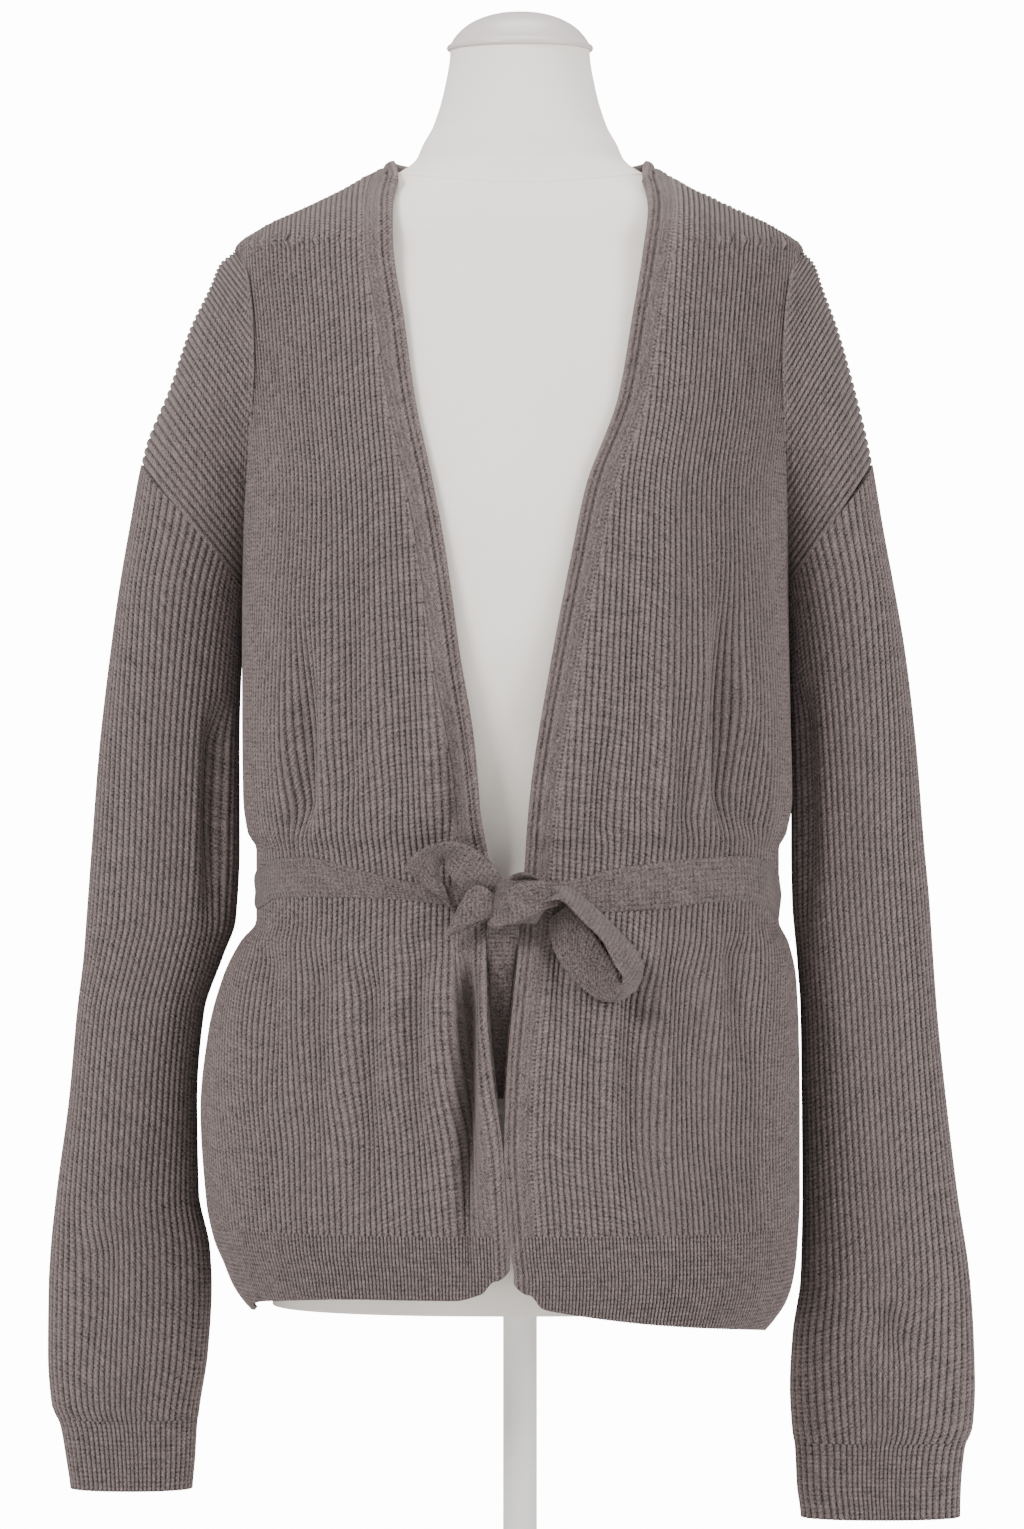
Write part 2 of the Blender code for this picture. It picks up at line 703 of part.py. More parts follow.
# The belt's upper and lower edge: round the front by place across, then behind the middle. On
# the viewer's left it narrows to the knot, where the bloused cloth hangs over it.
BeltRow = namedtuple("BeltRow", "x top bottom")
BELT = [
    BeltRow(-138.5, 386, 366),
    BeltRow(-126, 393, 372),
    BeltRow(-110, 394, 373),
    BeltRow(-88, 389, 373),
    BeltRow(-58, 382, 372),
    BeltRow(-41, 380, 370),
    BeltRow(-15, 379, 368),
    BeltRow(2, 381, 367),
    BeltRow(27, 382.5, 366),
    BeltRow(44, 387.5, 366),
    BeltRow(75, 392, 367.5),
    BeltRow(93, 393.5, 370),
    BeltRow(114, 394.5, 371),
    BeltRow(128, 391, 367),
    BeltRow(136, 384, 361),
]
BELT_BEHIND = BeltRow(0, 392, 368)


def belt_edges(turn):
    x = body_oval(turn, BELT_HEIGHT)[0] / MM
    behind = ease(max(-math.cos(turn), 0) * 2)
    top = at(BELT, x, "top")
    bottom = at(BELT, x, "bottom")
    return top + (BELT_BEHIND.top * MM - top) * behind, bottom + (BELT_BEHIND.bottom * MM - bottom) * behind


def belt(look):
    """Round the waist, at the same angles as the cloth under it, from one front's edge to the other."""
    turns = [turn_to(RIGHT, at(EDGES, BELT_HEIGHT / MM, "right"), BELT_HEIGHT)]
    turns += [front_turn(RIGHT, BELT_HEIGHT, k / FRONT_COLUMNS) for k in range(FRONT_COLUMNS)]
    turns += [back_turn(BELT_HEIGHT, 1 - 2 * k / BACK_COLUMNS) % (2 * math.pi)
              for k in range(BACK_COLUMNS + 1)]
    turns += [front_turn(LEFT, BELT_HEIGHT, k / FRONT_COLUMNS) % (2 * math.pi)
              for k in range(FRONT_COLUMNS - 1, -1, -1)]
    turns += [2 * math.pi - turn_to(LEFT, -at(EDGES, BELT_HEIGHT / MM, "left"), BELT_HEIGHT)]
    rows = []
    for turn in turns:
        top, bottom = belt_edges(turn)
        rows.append([body_point(turn, bottom + (top - bottom) * part, BELT_LIFT)
                     for part in (0, 0.5, 1)])
    sheet_from_rows("belt_waist", rows, BELT_WALL, look)


# A ribbon of the belt: its middle line, and half its width as a vector
RibbonRow = namedtuple("RibbonRow", "x y z half_x half_y half_z")
RIGHT_LOOP = [
    RibbonRow(13.6, -111.2, 375.5, -1, -6, -4),
    RibbonRow(24, -112, 375.5, -2.5, -9.5, -3),
    RibbonRow(37, -112, 364, -4.2, -10, -2.5),
    RibbonRow(47, -113, 353.7, -5, -10, -1.8),
    RibbonRow(55, -114.5, 342, -7, -8.5, -1.5),
    RibbonRow(57.5, -115.5, 332.5, -5, -8.5, 1.5),
    RibbonRow(53, -115, 325.5, -0.5, -7.5, 4),
    RibbonRow(46.5, -111.5, 325.3, 5, -3, 4.5),
    RibbonRow(39.5, -109.5, 333, 9.8, -1.5, 4),
    RibbonRow(33, -108, 342, 11, -1, 4),
    RibbonRow(27, -106, 352, 10, -1, 4.2),
    RibbonRow(22.5, -104.5, 361, 7.5, -1, 3.6),
    RibbonRow(20, -103.5, 366, 5, -1, 4),
]
LEFT_LOOP = [
    RibbonRow(-12.8, -109.8, 369.5, 0, -1, 6),
    RibbonRow(-20, -112, 371, 0, -1, 9),
    RibbonRow(-28, -113, 368, 2, -2, 10.5),
    RibbonRow(-33.5, -110, 363, 4, -2, 9),
    RibbonRow(-32, -106, 362, 4, 0, 8),
    RibbonRow(-24, -104.5, 365, 1, 0, 7),
    RibbonRow(-15, -104, 368, 0, 0, 5),
]
TURNED_LOOP = [
    RibbonRow(-11.9, -107.3, 378.4, 2.0, -3, 4.2),
    RibbonRow(-20, -109, 385, 4, -3, 6.5),
    RibbonRow(-29, -110.5, 393, 4, -4.5, 6.5),
    RibbonRow(-36, -111, 399, 2, -6.5, 4),
    RibbonRow(-42, -110.5, 398.5, -3, -6.5, 3),
    RibbonRow(-48, -109, 391, -6, -5, 4),
    RibbonRow(-51, -107, 383.5, -8, -3, 3.5),
    RibbonRow(-48, -103.8, 377, -6.5, -1.5, 6),
    RibbonRow(-41, -101.3, 374, -2, -0.4, 7.5),
]
TailRow = namedtuple("TailRow", "y z")
TAIL = [
    TailRow(-103.6, 361),
    TailRow(-101, 354),
    TailRow(-98.5, 342),
    TailRow(-98, 325),
    TailRow(-98.5, 295),
    TailRow(-99, 270),
]
TAIL_CLEAR = 1.6


def along_ribbon(rows, where):
    """The ribbon's values at a place between two rows, on a smooth curve through them."""
    i = min(int(where), len(rows) - 2)
    t = where - i
    before = rows[max(i - 1, 0)]
    after = rows[min(i + 2, len(rows) - 1)]
    values = []
    for p0, p1, p2, p3 in zip(before, rows[i], rows[i + 1], after):
        values.append(p1 + 0.5 * t * (p2 - p0 + t * (2 * p0 - 5 * p1 + 4 * p2 - p3
                                                   + t * (3 * (p1 - p2) + p3 - p0))))
    return RibbonRow(*values)


def ribbon(name, rows, steps, look):
    points = []
    for k in range((len(rows) - 1) * steps + 1):
        row = along_ribbon(rows, k / steps)
        middle = Vector((row.x, row.y, row.z)) * MM
        half = Vector((row.half_x, row.half_y, row.half_z)) * MM
        points.append([middle - half, middle, middle + half])
    sheet_from_rows(name, points, BELT_WALL, look)
    bpy.data.objects[name].modifiers["wall"].offset = 0


def belt_end(look):
    """The belt's end hangs in the opening below the knot and fills it from edge to edge."""
    rows = []
    for y, z in TAIL:
        left = at(EDGES, z, "left") / MM
        right = at(EDGES, z, "right") / MM
        rows.append(RibbonRow((left + right) / 2, y, z, (right - left) / 2 - TAIL_CLEAR, 0, 0))
    ribbon("belt_tail", rows, 1, look)


def knot(look):
    """The knot: a rounded block with the crossing stretch of the belt raised round its middle."""
    middle = Vector((0.5, -108.9, 372)) * MM
    half = Vector((13, 8.6, 12)) * MM
    mesh = bpy.data.meshes.new("belt_knot")
    work = bmesh.new()
    bmesh.ops.create_uvsphere(work, u_segments=18, v_segments=10, radius=1)
    for vert in work.verts:
        round_in = max(abs(vert.co.x) ** 3 + abs(vert.co.y) ** 3 + abs(vert.co.z) ** 3, 1e-6)
        place = vert.co / round_in ** (1 / 3)
        pinch = 1 - 0.18 * place.x ** 4
        vert.co = middle + Vector((place.x * half.x, place.y * half.y * pinch,
                                   place.z * half.z * pinch))
    work.to_mesh(mesh)
    work.free()
    add_object("belt_knot", mesh, look)


clear_scene()
KNIT = material("rib knit", (0.23, 0.195, 0.18), 0.95)
FINE_KNIT = material("belt knit", (0.235, 0.20, 0.185), 0.95)
JERSEY = material("form jersey", (0.74, 0.72, 0.68), 0.9)
PLASTIC = material("cap plastic", (0.80, 0.76, 0.73), 0.25)
PAINT = material("stand paint", (0.78, 0.77, 0.75), 0.4)
dress_form(JERSEY, PLASTIC, PAINT)
surface = garment_surface()
for piece in PIECES:
    surface.cut(piece, BAND_WALL if piece == "front_band" else KNIT_WALL, KNIT)
belt(FINE_KNIT)
knot(FINE_KNIT)
ribbon("belt_right_loop", RIGHT_LOOP, 2, FINE_KNIT)
ribbon("belt_left_loop", LEFT_LOOP, 3, FINE_KNIT)
ribbon("belt_turned_loop", TURNED_LOOP, 3, FINE_KNIT)
belt_end(FINE_KNIT)
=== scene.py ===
"""How the tie cardigan on its dress form looks: ribbed knit over the fixed frame's shapes.

Metres, +Z up. The front faces -Y, +X is the viewer's right. Tables are in millimetres.
"""
import math
from collections import namedtuple

import bpy
import numpy as np
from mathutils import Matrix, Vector


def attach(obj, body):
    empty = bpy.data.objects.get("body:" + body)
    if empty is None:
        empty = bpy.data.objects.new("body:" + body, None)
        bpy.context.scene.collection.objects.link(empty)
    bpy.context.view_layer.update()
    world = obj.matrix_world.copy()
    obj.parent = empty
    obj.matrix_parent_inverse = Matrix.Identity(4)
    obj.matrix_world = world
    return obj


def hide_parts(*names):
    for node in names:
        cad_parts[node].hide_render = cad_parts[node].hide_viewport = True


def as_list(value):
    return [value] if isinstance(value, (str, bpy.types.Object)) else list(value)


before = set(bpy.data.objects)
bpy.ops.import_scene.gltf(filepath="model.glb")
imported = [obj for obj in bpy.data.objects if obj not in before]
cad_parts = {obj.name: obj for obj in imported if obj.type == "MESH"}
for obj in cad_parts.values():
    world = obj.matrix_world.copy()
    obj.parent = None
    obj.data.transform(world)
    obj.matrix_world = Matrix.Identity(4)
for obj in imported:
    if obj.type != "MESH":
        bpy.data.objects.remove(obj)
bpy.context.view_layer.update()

MM = 0.001

# The body of the cardigan: two fronts and a back in marled taupe rib knit, with dropped shoulders
# that reach over the arms. They and the sleeves are cut from one outer surface, which has level
# ovals as its sections and the largest folds as soft troughs.
LEFT = -1
RIGHT = 1
FRONT = -1
BACK = 1
OVAL_POWER = 2.4
SLEEVE_POWER = 2.2
BAND_WIDTH = 8 * MM
SHOULDER_TIP = 714.7 * MM
BODY_TOP = 755.5 * MM
NECK_EDGE = 761.5 * MM
BODY_END = 200 * MM
ARMPIT = 534.5 * MM
SLEEVE_CAP = 601 * MM
SLEEVE_LEVEL = 250 * MM
BELT_HEIGHT = 380 * MM

# The body's outer face: half widths to the viewer's left and right, depths in front and behind
BodyRow = namedtuple("BodyRow", "z left right front back")
BODY = [
    BodyRow(140, 128, 127, 111, 107),
    BodyRow(150, 135, 134, 112, 108),
    BodyRow(158, 144, 139.5, 113, 110),
    BodyRow(168, 151, 143, 115, 112),
    BodyRow(180, 156, 145, 116, 113),
    BodyRow(192, 161, 146, 117, 114),
    BodyRow(212, 165, 147, 117, 114),
    BodyRow(260, 168, 147, 115, 112),
    BodyRow(300, 164, 146.5, 111, 107),
    BodyRow(330, 156, 145, 106, 100),
    BodyRow(348, 147, 141, 101, 93),
    BodyRow(359, 138.5, 136, 98, 90),
    BodyRow(380, 138.5, 136, 98, 90),
    BodyRow(398, 138.5, 136, 98, 90),
    BodyRow(406, 143, 140, 102, 94),
    BodyRow(425, 145.5, 143, 107, 97),
    BodyRow(470, 146, 142, 112, 98),
    BodyRow(534.5, 146, 141, 119, 97),
    BodyRow(570, 146.5, 142, 121, 96),
    BodyRow(630, 147, 145, 111, 93),
    BodyRow(672, 149, 148, 101.5, 89),
    BodyRow(698, 150.5, 149.5, 93, 84),
    BodyRow(714.7, 150, 149, 87, 80),
    BodyRow(725.3, 136.5, 134.5, 81.5, 77),
    BodyRow(735.9, 114, 112, 74, 71),
    BodyRow(746.5, 92, 90.5, 66, 66),
    BodyRow(757, 74, 73, 58.5, 60),
    BodyRow(763, 64.5, 64.5, 54.5, 57),
    BodyRow(769, 58.5, 59, 51.5, 54.5),
]

# The sleeves' level sections: outer and inner edge from the middle, half depth, and how far the
# middle of the section lies behind Y = 0
SleeveRow = namedtuple("SleeveRow", "z outer inner half_depth behind")
LEFT_SLEEVE = [
    SleeveRow(55, 237.5, 174.5, 21, 4),
    SleeveRow(75, 240, 173, 22, 4),
    SleeveRow(92, 243, 172, 23, 4),
    SleeveRow(104, 247.5, 170.5, 26, 4),
    SleeveRow(130, 249.3, 166.5, 29, 4),
    SleeveRow(165, 249, 164.5, 30, 5),
    SleeveRow(185, 248, 165.5, 30, 6),
    SleeveRow(215, 245, 171.5, 30, 8),
    SleeveRow(265, 238.5, 172.5, 31, 10),
    SleeveRow(310, 234.5, 169, 31, 12),
    SleeveRow(340, 231, 159, 31, 13),
    SleeveRow(360, 229.5, 152, 31, 13),
    SleeveRow(400, 226.5, 150, 31, 12),
    SleeveRow(450, 222.5, 150, 32, 10),
    SleeveRow(500, 216.5, 148.5, 35, 6),
    SleeveRow(534.5, 211.5, 146, 39, 3),
    SleeveRow(566, 206, 137, 43, 1),
    SleeveRow(609, 197.5, 127, 49, 0),
    SleeveRow(640, 185, 122, 50, 0),
    SleeveRow(672, 174, 118, 46, 0),
    SleeveRow(694, 163.5, 116, 40, 0),
    SleeveRow(706, 158.5, 114, 34, 0),
    SleeveRow(714.7, 150, 112, 28, 0),
]
RIGHT_SLEEVE = [
    SleeveRow(43, 232.5, 149.5, 21, 2),
    SleeveRow(60, 233, 147.5, 22, 2),
    SleeveRow(80, 235, 146.5, 23, 2),
    SleeveRow(92, 239, 145, 26, 2),
    SleeveRow(112, 240.2, 144, 28, 2),
    SleeveRow(140, 239.5, 145.5, 30, 3),
    SleeveRow(170, 237.5, 149.8, 30, 4),
    SleeveRow(215, 231, 150.8, 30, 5),
    SleeveRow(265, 225, 150.5, 30, 6),
    SleeveRow(310, 220.5, 150, 30, 8),
    SleeveRow(340, 218.3, 148, 30, 8),
    SleeveRow(370, 216.3, 145.5, 30, 8),
    SleeveRow(400, 213.5, 145, 30, 8),
    SleeveRow(450, 209.5, 145, 32, 8),
    SleeveRow(500, 203.5, 143.5, 35, 5),
    SleeveRow(534.5, 197.5, 141, 39, 3),
    SleeveRow(566, 191.5, 134, 43, 1),
    SleeveRow(609, 184, 126, 49, 0),
    SleeveRow(640, 176.5, 121, 50, 0),
    SleeveRow(672, 167.5, 117, 46, 0),
    SleeveRow(694, 159.5, 115, 40, 0),
    SleeveRow(706, 155.5, 113, 34, 0),
    SleeveRow(714.7, 149, 111, 28, 0),
]

# The open front: how far each front's edge lies to the right of the middle, at each height
EdgeRow = namedtuple("EdgeRow", "z left right")
EDGES = [
    EdgeRow(140, -5, -4),
    EdgeRow(176, -5, -3.2),
    EdgeRow(190, -5.4, -4.6),
    EdgeRow(212, -6.6, -6.2),
    EdgeRow(245, -8.8, -8.2),
    EdgeRow(280, -13.5, -7),
    EdgeRow(320, -16.5, -3.7),
    EdgeRow(350, -17.5, -0.5),
    EdgeRow(385, -15.5, 2),
    EdgeRow(414, -20, 4),
    EdgeRow(434, -22, 6),
    EdgeRow(495, -30.5, 16),
    EdgeRow(552, -38.5, 27),
    EdgeRow(585, -44.5, 34),
    EdgeRow(632, -54.5, 51),
    EdgeRow(675, -60.5, 58.5),
    EdgeRow(712, -66, 64.5),
    EdgeRow(734, -66.5, 67),
    EdgeRow(748, -64.5, 65),
    EdgeRow(757, -61, 62),
    EdgeRow(763, -57, 58),
    EdgeRow(769, -54, 55),
]

# The largest folds, as troughs: place across at the top and bottom end, height of both ends,
# depth of the trough and half its width
Fold = namedtuple("Fold", "x_top x_bottom top bottom depth half_width")
FRONT_FOLDS = [
    Fold(-110, -116, 530, 398, 8, 8),
    Fold(-88, -92, 600, 400, 4, 11),
    Fold(-38, -33, 500, 398, 6, 8),
    Fold(-60, -66, 560, 400, 3, 12),
    Fold(-80, -85, 352, 180, 6, 11),
    Fold(-54, -60, 360, 230, 4, 9),
    Fold(-107, -112, 356, 200, 4, 12),
    Fold(-27, -28.5, 352, 155, 11.5, 5.5),
    Fold(-16, -19, 350, 175, -5, 6),
    Fold(-40, -41, 350, 185, -4.5, 8),
    Fold(-132, -128, 356, 250, 4, 10),
    Fold(105, 109, 560, 398, 9, 8),
    Fold(118, 122, 480, 398, 4, 7),
    Fold(86, 90, 500, 398, 4, 9),
    Fold(46, 42, 470, 398, 4, 8),
    Fold(66, 64, 560, 398, 3, 11),
    Fold(60, 62, 352, 178, 7, 11),
    Fold(86, 94, 356, 210, 4, 12),
    Fold(38, 36, 352, 240, 4, 8),
    Fold(22, 20, 356, 290, 6, 9),
    Fold(112, 116, 358, 270, 4, 9),
]
BACK_FOLDS = [
    Fold(-104, -112, 560, 404, 6, 11),
    Fold(-58, -64, 480, 402, 5, 10),
    Fold(-12, -8, 460, 404, 4, 10),
    Fold(46, 50, 490, 402, 6, 10),
    Fold(98, 104, 570, 404, 6, 11),
    Fold(-88, -96, 357, 215, 6, 12),
    Fold(-30, -34, 357, 240, 5, 11),
    Fold(34, 40, 357, 205, 6, 12),
    Fold(92, 98, 357, 230, 5, 11),
]
# On the sleeves the place is the angle round the tube, 0 at the front and 90 at the outer edge
LEFT_SLEEVE_FOLDS = [
    Fold(-46, -52, 480, 330, 7, 13),
    Fold(20, 30, 200, 110, 3, 22),
    Fold(150, 160, 520, 300, 4, 18),
]
RIGHT_SLEEVE_FOLDS = [
    Fold(-10, 30, 160, 118, 4, 20),
    Fold(-50, -58, 500, 320, 4, 14),
    Fold(160, 150, 520, 280, 4, 18),
]

# The knit's thickness under its ribs, and how many times deeper its folds are than in the table
KNIT_WALL = 1.2 * MM
FOLD_GAIN = 1.35
# A fold fades beside its half width, close to the belt that gathers it, and towards its free end
FOLD_REACH = 1.6
BELT_FADE = 0.2
FREE_FADE = 0.6
# Folds fade at the sides, and push the cloth more to the front than across
SIDE_FADE = 3
PUSH_FORWARD = 1.25


def curve(rows, column):
    """A smooth curve through a table's column that never overshoots, in metres."""
    table = sorted(rows, key=lambda row: row[0])
    x = np.array([row[0] for row in table], float)
    y = np.array([getattr(row, column) for row in table], float) * MM
    run = np.diff(x)
    rise = np.diff(y) / run
    slope = np.zeros(len(x))
    same = rise[:-1] * rise[1:] > 0
    total = np.where(same, rise[:-1] + rise[1:], 1)
    slope[1:-1] = np.where(same, 2 * rise[:-1] * rise[1:] / total, 0)

    def value(where):
        where = np.clip(np.asarray(where, float), x[0], x[-1])
        i = np.clip(np.searchsorted(x, where, side="right") - 1, 0, len(x) - 2)
        t = (where - x[i]) / run[i]
        return (y[i] * (1 + 2 * t) * (1 - t) ** 2 + slope[i] * run[i] * t * (1 - t) ** 2
                + y[i + 1] * t * t * (3 - 2 * t) + slope[i + 1] * run[i] * t * t * (t - 1))
    return value


def ease(t):
    """A soft step from 0 to 1."""
    t = np.clip(t, 0, 1)
    return t * t * (3 - 2 * t)


body_curves = {name: curve(BODY, name) for name in ("left", "right", "front", "back")}
edge_curves = {LEFT: curve(EDGES, "left"), RIGHT: curve(EDGES, "right")}
sleeve_curves = {side: {name: curve(rows, name) for name in ("outer", "inner", "half_depth", "behind")}
                 for side, rows in ((LEFT, LEFT_SLEEVE), (RIGHT, RIGHT_SLEEVE))}


def oval(angle, half_width, half_depth, power):
    """A point on an oval round (0, 0). Angle 0 is the front, 90 degrees the side at +X."""
    s = np.sin(angle)
    c = np.cos(angle)
    reach = (np.abs(s / half_width) ** power + np.abs(c / half_depth) ** power) ** (-1 / power)
    return reach * s, -reach * c


def trough(folds, place, z):
    """How deep the folds of one face are at this place and height."""
    depth = np.zeros(np.broadcast(place, z).shape)
    for fold in folds:
        along = (fold.top - z / MM) / (fold.top - fold.bottom)
        middle = fold.x_top + (fold.x_bottom - fold.x_top) * along
        beside = np.clip(np.abs(place - middle) / fold.half_width / FOLD_REACH, 0, 1)
        from_belt = 1 - along if fold.bottom > BELT_HEIGHT / MM else along
        ends = ease(from_belt / BELT_FADE) * ease((1 - from_belt) / FREE_FADE)
        depth = depth + fold.depth * MM * ends * np.cos(beside * math.pi / 2) ** 2
    return depth * FOLD_GAIN


def body_oval(angle, z):
    """The body's section without its folds: x and y at an angle and a height."""
    z = z / MM
    half_width = np.where(np.sin(angle) > 0, body_curves["right"](z), body_curves["left"](z))
    half_depth = np.where(np.cos(angle) > 0, body_curves["front"](z), body_curves["back"](z))
    return oval(angle, half_width, half_depth, OVAL_POWER)


def body_points(angle, z, lift=0.0):
    """Points on the body's outer face, with its folds. Lift moves them outwards."""
    angle, z = np.broadcast_arrays(np.asarray(angle, float), np.asarray(z, float))
    x, y = body_oval(angle, z)
    depth = np.where(np.cos(angle) > 0, trough(FRONT_FOLDS, x / MM, z), trough(BACK_FOLDS, x / MM, z))
    out_x = np.sin(angle)
    out_y = -np.cos(angle) * PUSH_FORWARD
    length = np.hypot(out_x, out_y)
    move = lift - depth * ease(np.abs(np.cos(angle)) * SIDE_FADE)
    return np.stack([x + move * out_x / length, y + move * out_y / length, z], -1)


def sleeve_points(side, angle, z):
    """Angle 0 is the front, 90 degrees the outer edge, -90 the edge by the body."""
    angle, z = np.broadcast_arrays(np.asarray(angle, float), np.asarray(z, float))
    table = {name: value(z / MM) for name, value in sleeve_curves[side].items()}
    x, y = oval(angle, (table["outer"] - table["inner"]) / 2, table["half_depth"], SLEEVE_POWER)
    x = side * (x + (table["outer"] + table["inner"]) / 2)
    y = y + table["behind"]
    folds = LEFT_SLEEVE_FOLDS if side == LEFT else RIGHT_SLEEVE_FOLDS
    depth = trough(folds, np.degrees(angle), z)
    return np.stack([x - side * np.sin(angle) * depth, y + np.cos(angle) * depth, z], -1)


# The join is looked for between this angle and the side, by halving the stretch
JOIN_START = math.radians(25)
HALVINGS = 40
JOIN_MARGIN = 0.05 * MM


def facing_turn(side, face, turn):
    """The angle round the body for a turn that counts from the middle of the front or the back."""
    return side * (turn if face == FRONT else math.pi - turn)


def join_turns(side, face, z):
    """The angle on the body's section where the dropped shoulder leaves it, for each height."""
    z = np.asarray(z, float)
    table = {name: value(z / MM) for name, value in sleeve_curves[side].items()}
    middle = (table["outer"] + table["inner"]) / 2
    half = (table["outer"] - table["inner"]) / 2

    def outside(turn):
        x, y = body_oval(facing_turn(side, face, turn), z)
        across = np.abs((np.abs(x) - middle) / half) ** SLEEVE_POWER
        deep = np.abs((y - table["behind"]) / table["half_depth"]) ** SLEEVE_POWER
        return across + deep > 1

    first = np.full(z.shape, JOIN_START)
    last = np.full(z.shape, math.pi / 2)
    never = outside(last)
    for _ in range(HALVINGS):
        turn = (first + last) / 2
        out = outside(turn)
        first = np.where(out, turn, first)
        last = np.where(out, last, turn)
    plain = never | (z <= ARMPIT + JOIN_MARGIN) | (z >= SHOULDER_TIP)
    return np.where(plain, math.pi / 2, first)


def turn_at(side, across, z):
    """The angle of the point on the body's front that lies this far out from the middle."""
    half_width = body_curves["left" if side == LEFT else "right"](z / MM)
    inside = np.clip(np.abs(across) / half_width, 0, 0.9999)
    y = body_curves["front"](z / MM) * (1 - inside ** OVAL_POWER) ** (1 / OVAL_POWER)
    return np.arctan2(across, y)


def panel_angles(side, face, z, share):
    """The angle at a share of the way from a front's edge, or the middle of the back, to the side.

    Above the shoulder's tip each rib keeps its place across, and ends at the shoulder line.
    """
    def from_middle(height):
        edge = edge_curves[side](height / MM) * side + BAND_WIDTH
        return turn_at(side, edge, height) if face == FRONT else np.zeros(height.shape)

    level = np.minimum(z, SHOULDER_TIP)
    first = from_middle(level)
    turn = first + (join_turns(side, face, level) - first) * share
    width, _ = body_oval(np.where(turn > math.pi / 2, math.pi / 2, turn) * side, level)
    across = np.abs(width)
    if face == FRONT:
        shift = (edge_curves[side](z / MM) - edge_curves[side](SHOULDER_TIP / MM)) * side
        across = across + shift * (1 - share)
    half_width = body_curves["left" if side == LEFT else "right"](z / MM)
    depth = body_curves["front" if face == FRONT else "back"](z / MM)
    inside = np.clip(across / half_width, 0, 1)
    upper = np.arctan2(across, depth * np.maximum(1 - inside ** OVAL_POWER, 1e-9) ** (1 / OVAL_POWER))
    turn = np.where(z > SHOULDER_TIP, upper, turn)
    return facing_turn(side, face, turn)


# The shoulder line is looked for at this many heights, as the first angle this close to the side
TOP_LEVELS = 90
RIDGE_TURN = 0.012


def rib_tops(side, face, share):
    """The height where each rib ends: on the shoulder line, or at the back's neck edge."""
    heights = np.linspace(SHOULDER_TIP / MM, BODY_TOP / MM, TOP_LEVELS) * MM
    z, s = np.meshgrid(heights, share, indexing="ij")
    angle = np.abs(panel_angles(side, face, z, s))
    past = np.abs(angle - math.pi / 2) < RIDGE_TURN
    tops = np.where(past.any(0), heights[past.argmax(0)], BODY_TOP)
    return np.where(share > 0.999, SHOULDER_TIP, np.maximum(tops, SHOULDER_TIP))


def facing(points, inside, wrap):
    """Unit normals of a grid of points, away from the points inside it."""
    if wrap:
        across = np.roll(points, -1, 1) - np.roll(points, 1, 1)
    else:
        across = np.gradient(points, axis=1)
    down = np.gradient(points, axis=0)
    normal = np.cross(down, across)
    normal /= np.maximum(np.linalg.norm(normal, axis=2, keepdims=True), 1e-12)
    turned = (normal * (points - inside)).sum() < 0
    return (-normal if turned else normal), turned


def quads(grid):
    """Faces with four corners over a grid of vertex numbers."""
    return np.stack([grid[:-1, :-1], grid[1:, :-1], grid[1:, 1:], grid[:-1, 1:]], -1).reshape(-1, 4)


def closed_round(grid):
    """The same grid of vertex numbers with its first column again at the end."""
    return np.concatenate([grid, grid[:, :1]], 1)


def rim(fine, coarse, back):
    """Faces between a fine edge and the plain inner face's coarser one."""
    faces = []
    stride = (len(fine) - 1) // (len(coarse) - 1)
    for j in range(len(coarse) - 1):
        start = j * stride
        middle = start + stride // 2
        faces += [(fine[k], fine[k + 1], coarse[j]) for k in range(start, middle)]
        faces.append((fine[middle], coarse[j + 1], coarse[j]))
        faces += [(fine[k], fine[k + 1], coarse[j + 1]) for k in range(middle, start + stride)]
    return [face[::-1] for face in faces] if back else faces


def shell(points, inside, relief, knit, wall, wrap=False, row_stride=2, column_stride=4):
    """A closed wall of cloth: the outer face carries the relief, the inner face is plain.

    knit holds each point's place in the cloth: ribs across, and metres along.
    """
    rows, columns = points.shape[:2]
    normal, turned = facing(points, inside, wrap)
    outer = points + normal * relief[..., None]
    rows_in = np.arange(0, rows, row_stride)
    columns_in = np.arange(0, columns, column_stride)
    inner = (points - normal * wall)[np.ix_(rows_in, columns_in)]
    verts = np.concatenate([outer.reshape(-1, 3), inner.reshape(-1, 3)])
    places = np.concatenate([knit.reshape(-1, 2), knit[np.ix_(rows_in, columns_in)].reshape(-1, 2)])
    index = np.arange(rows * columns).reshape(rows, columns)
    index_in = rows * columns + np.arange(inner.shape[0] * inner.shape[1]).reshape(inner.shape[:2])
    if wrap:
        index = closed_round(index)
        index_in = closed_round(index_in)
    faces = quads(index).tolist() + quads(index_in)[:, ::-1].tolist()
    faces += rim(index[0], index_in[0], False) + rim(index[-1], index_in[-1], True)
    if not wrap:
        faces += rim(index[:, 0], index_in[:, 0], True) + rim(index[:, -1], index_in[:, -1], False)
    if turned:
        faces = [face[::-1] for face in faces]
    return verts, faces, places


# Edges sharper than this stay crisp, such as a cloth's rim
CRISP = math.radians(72)


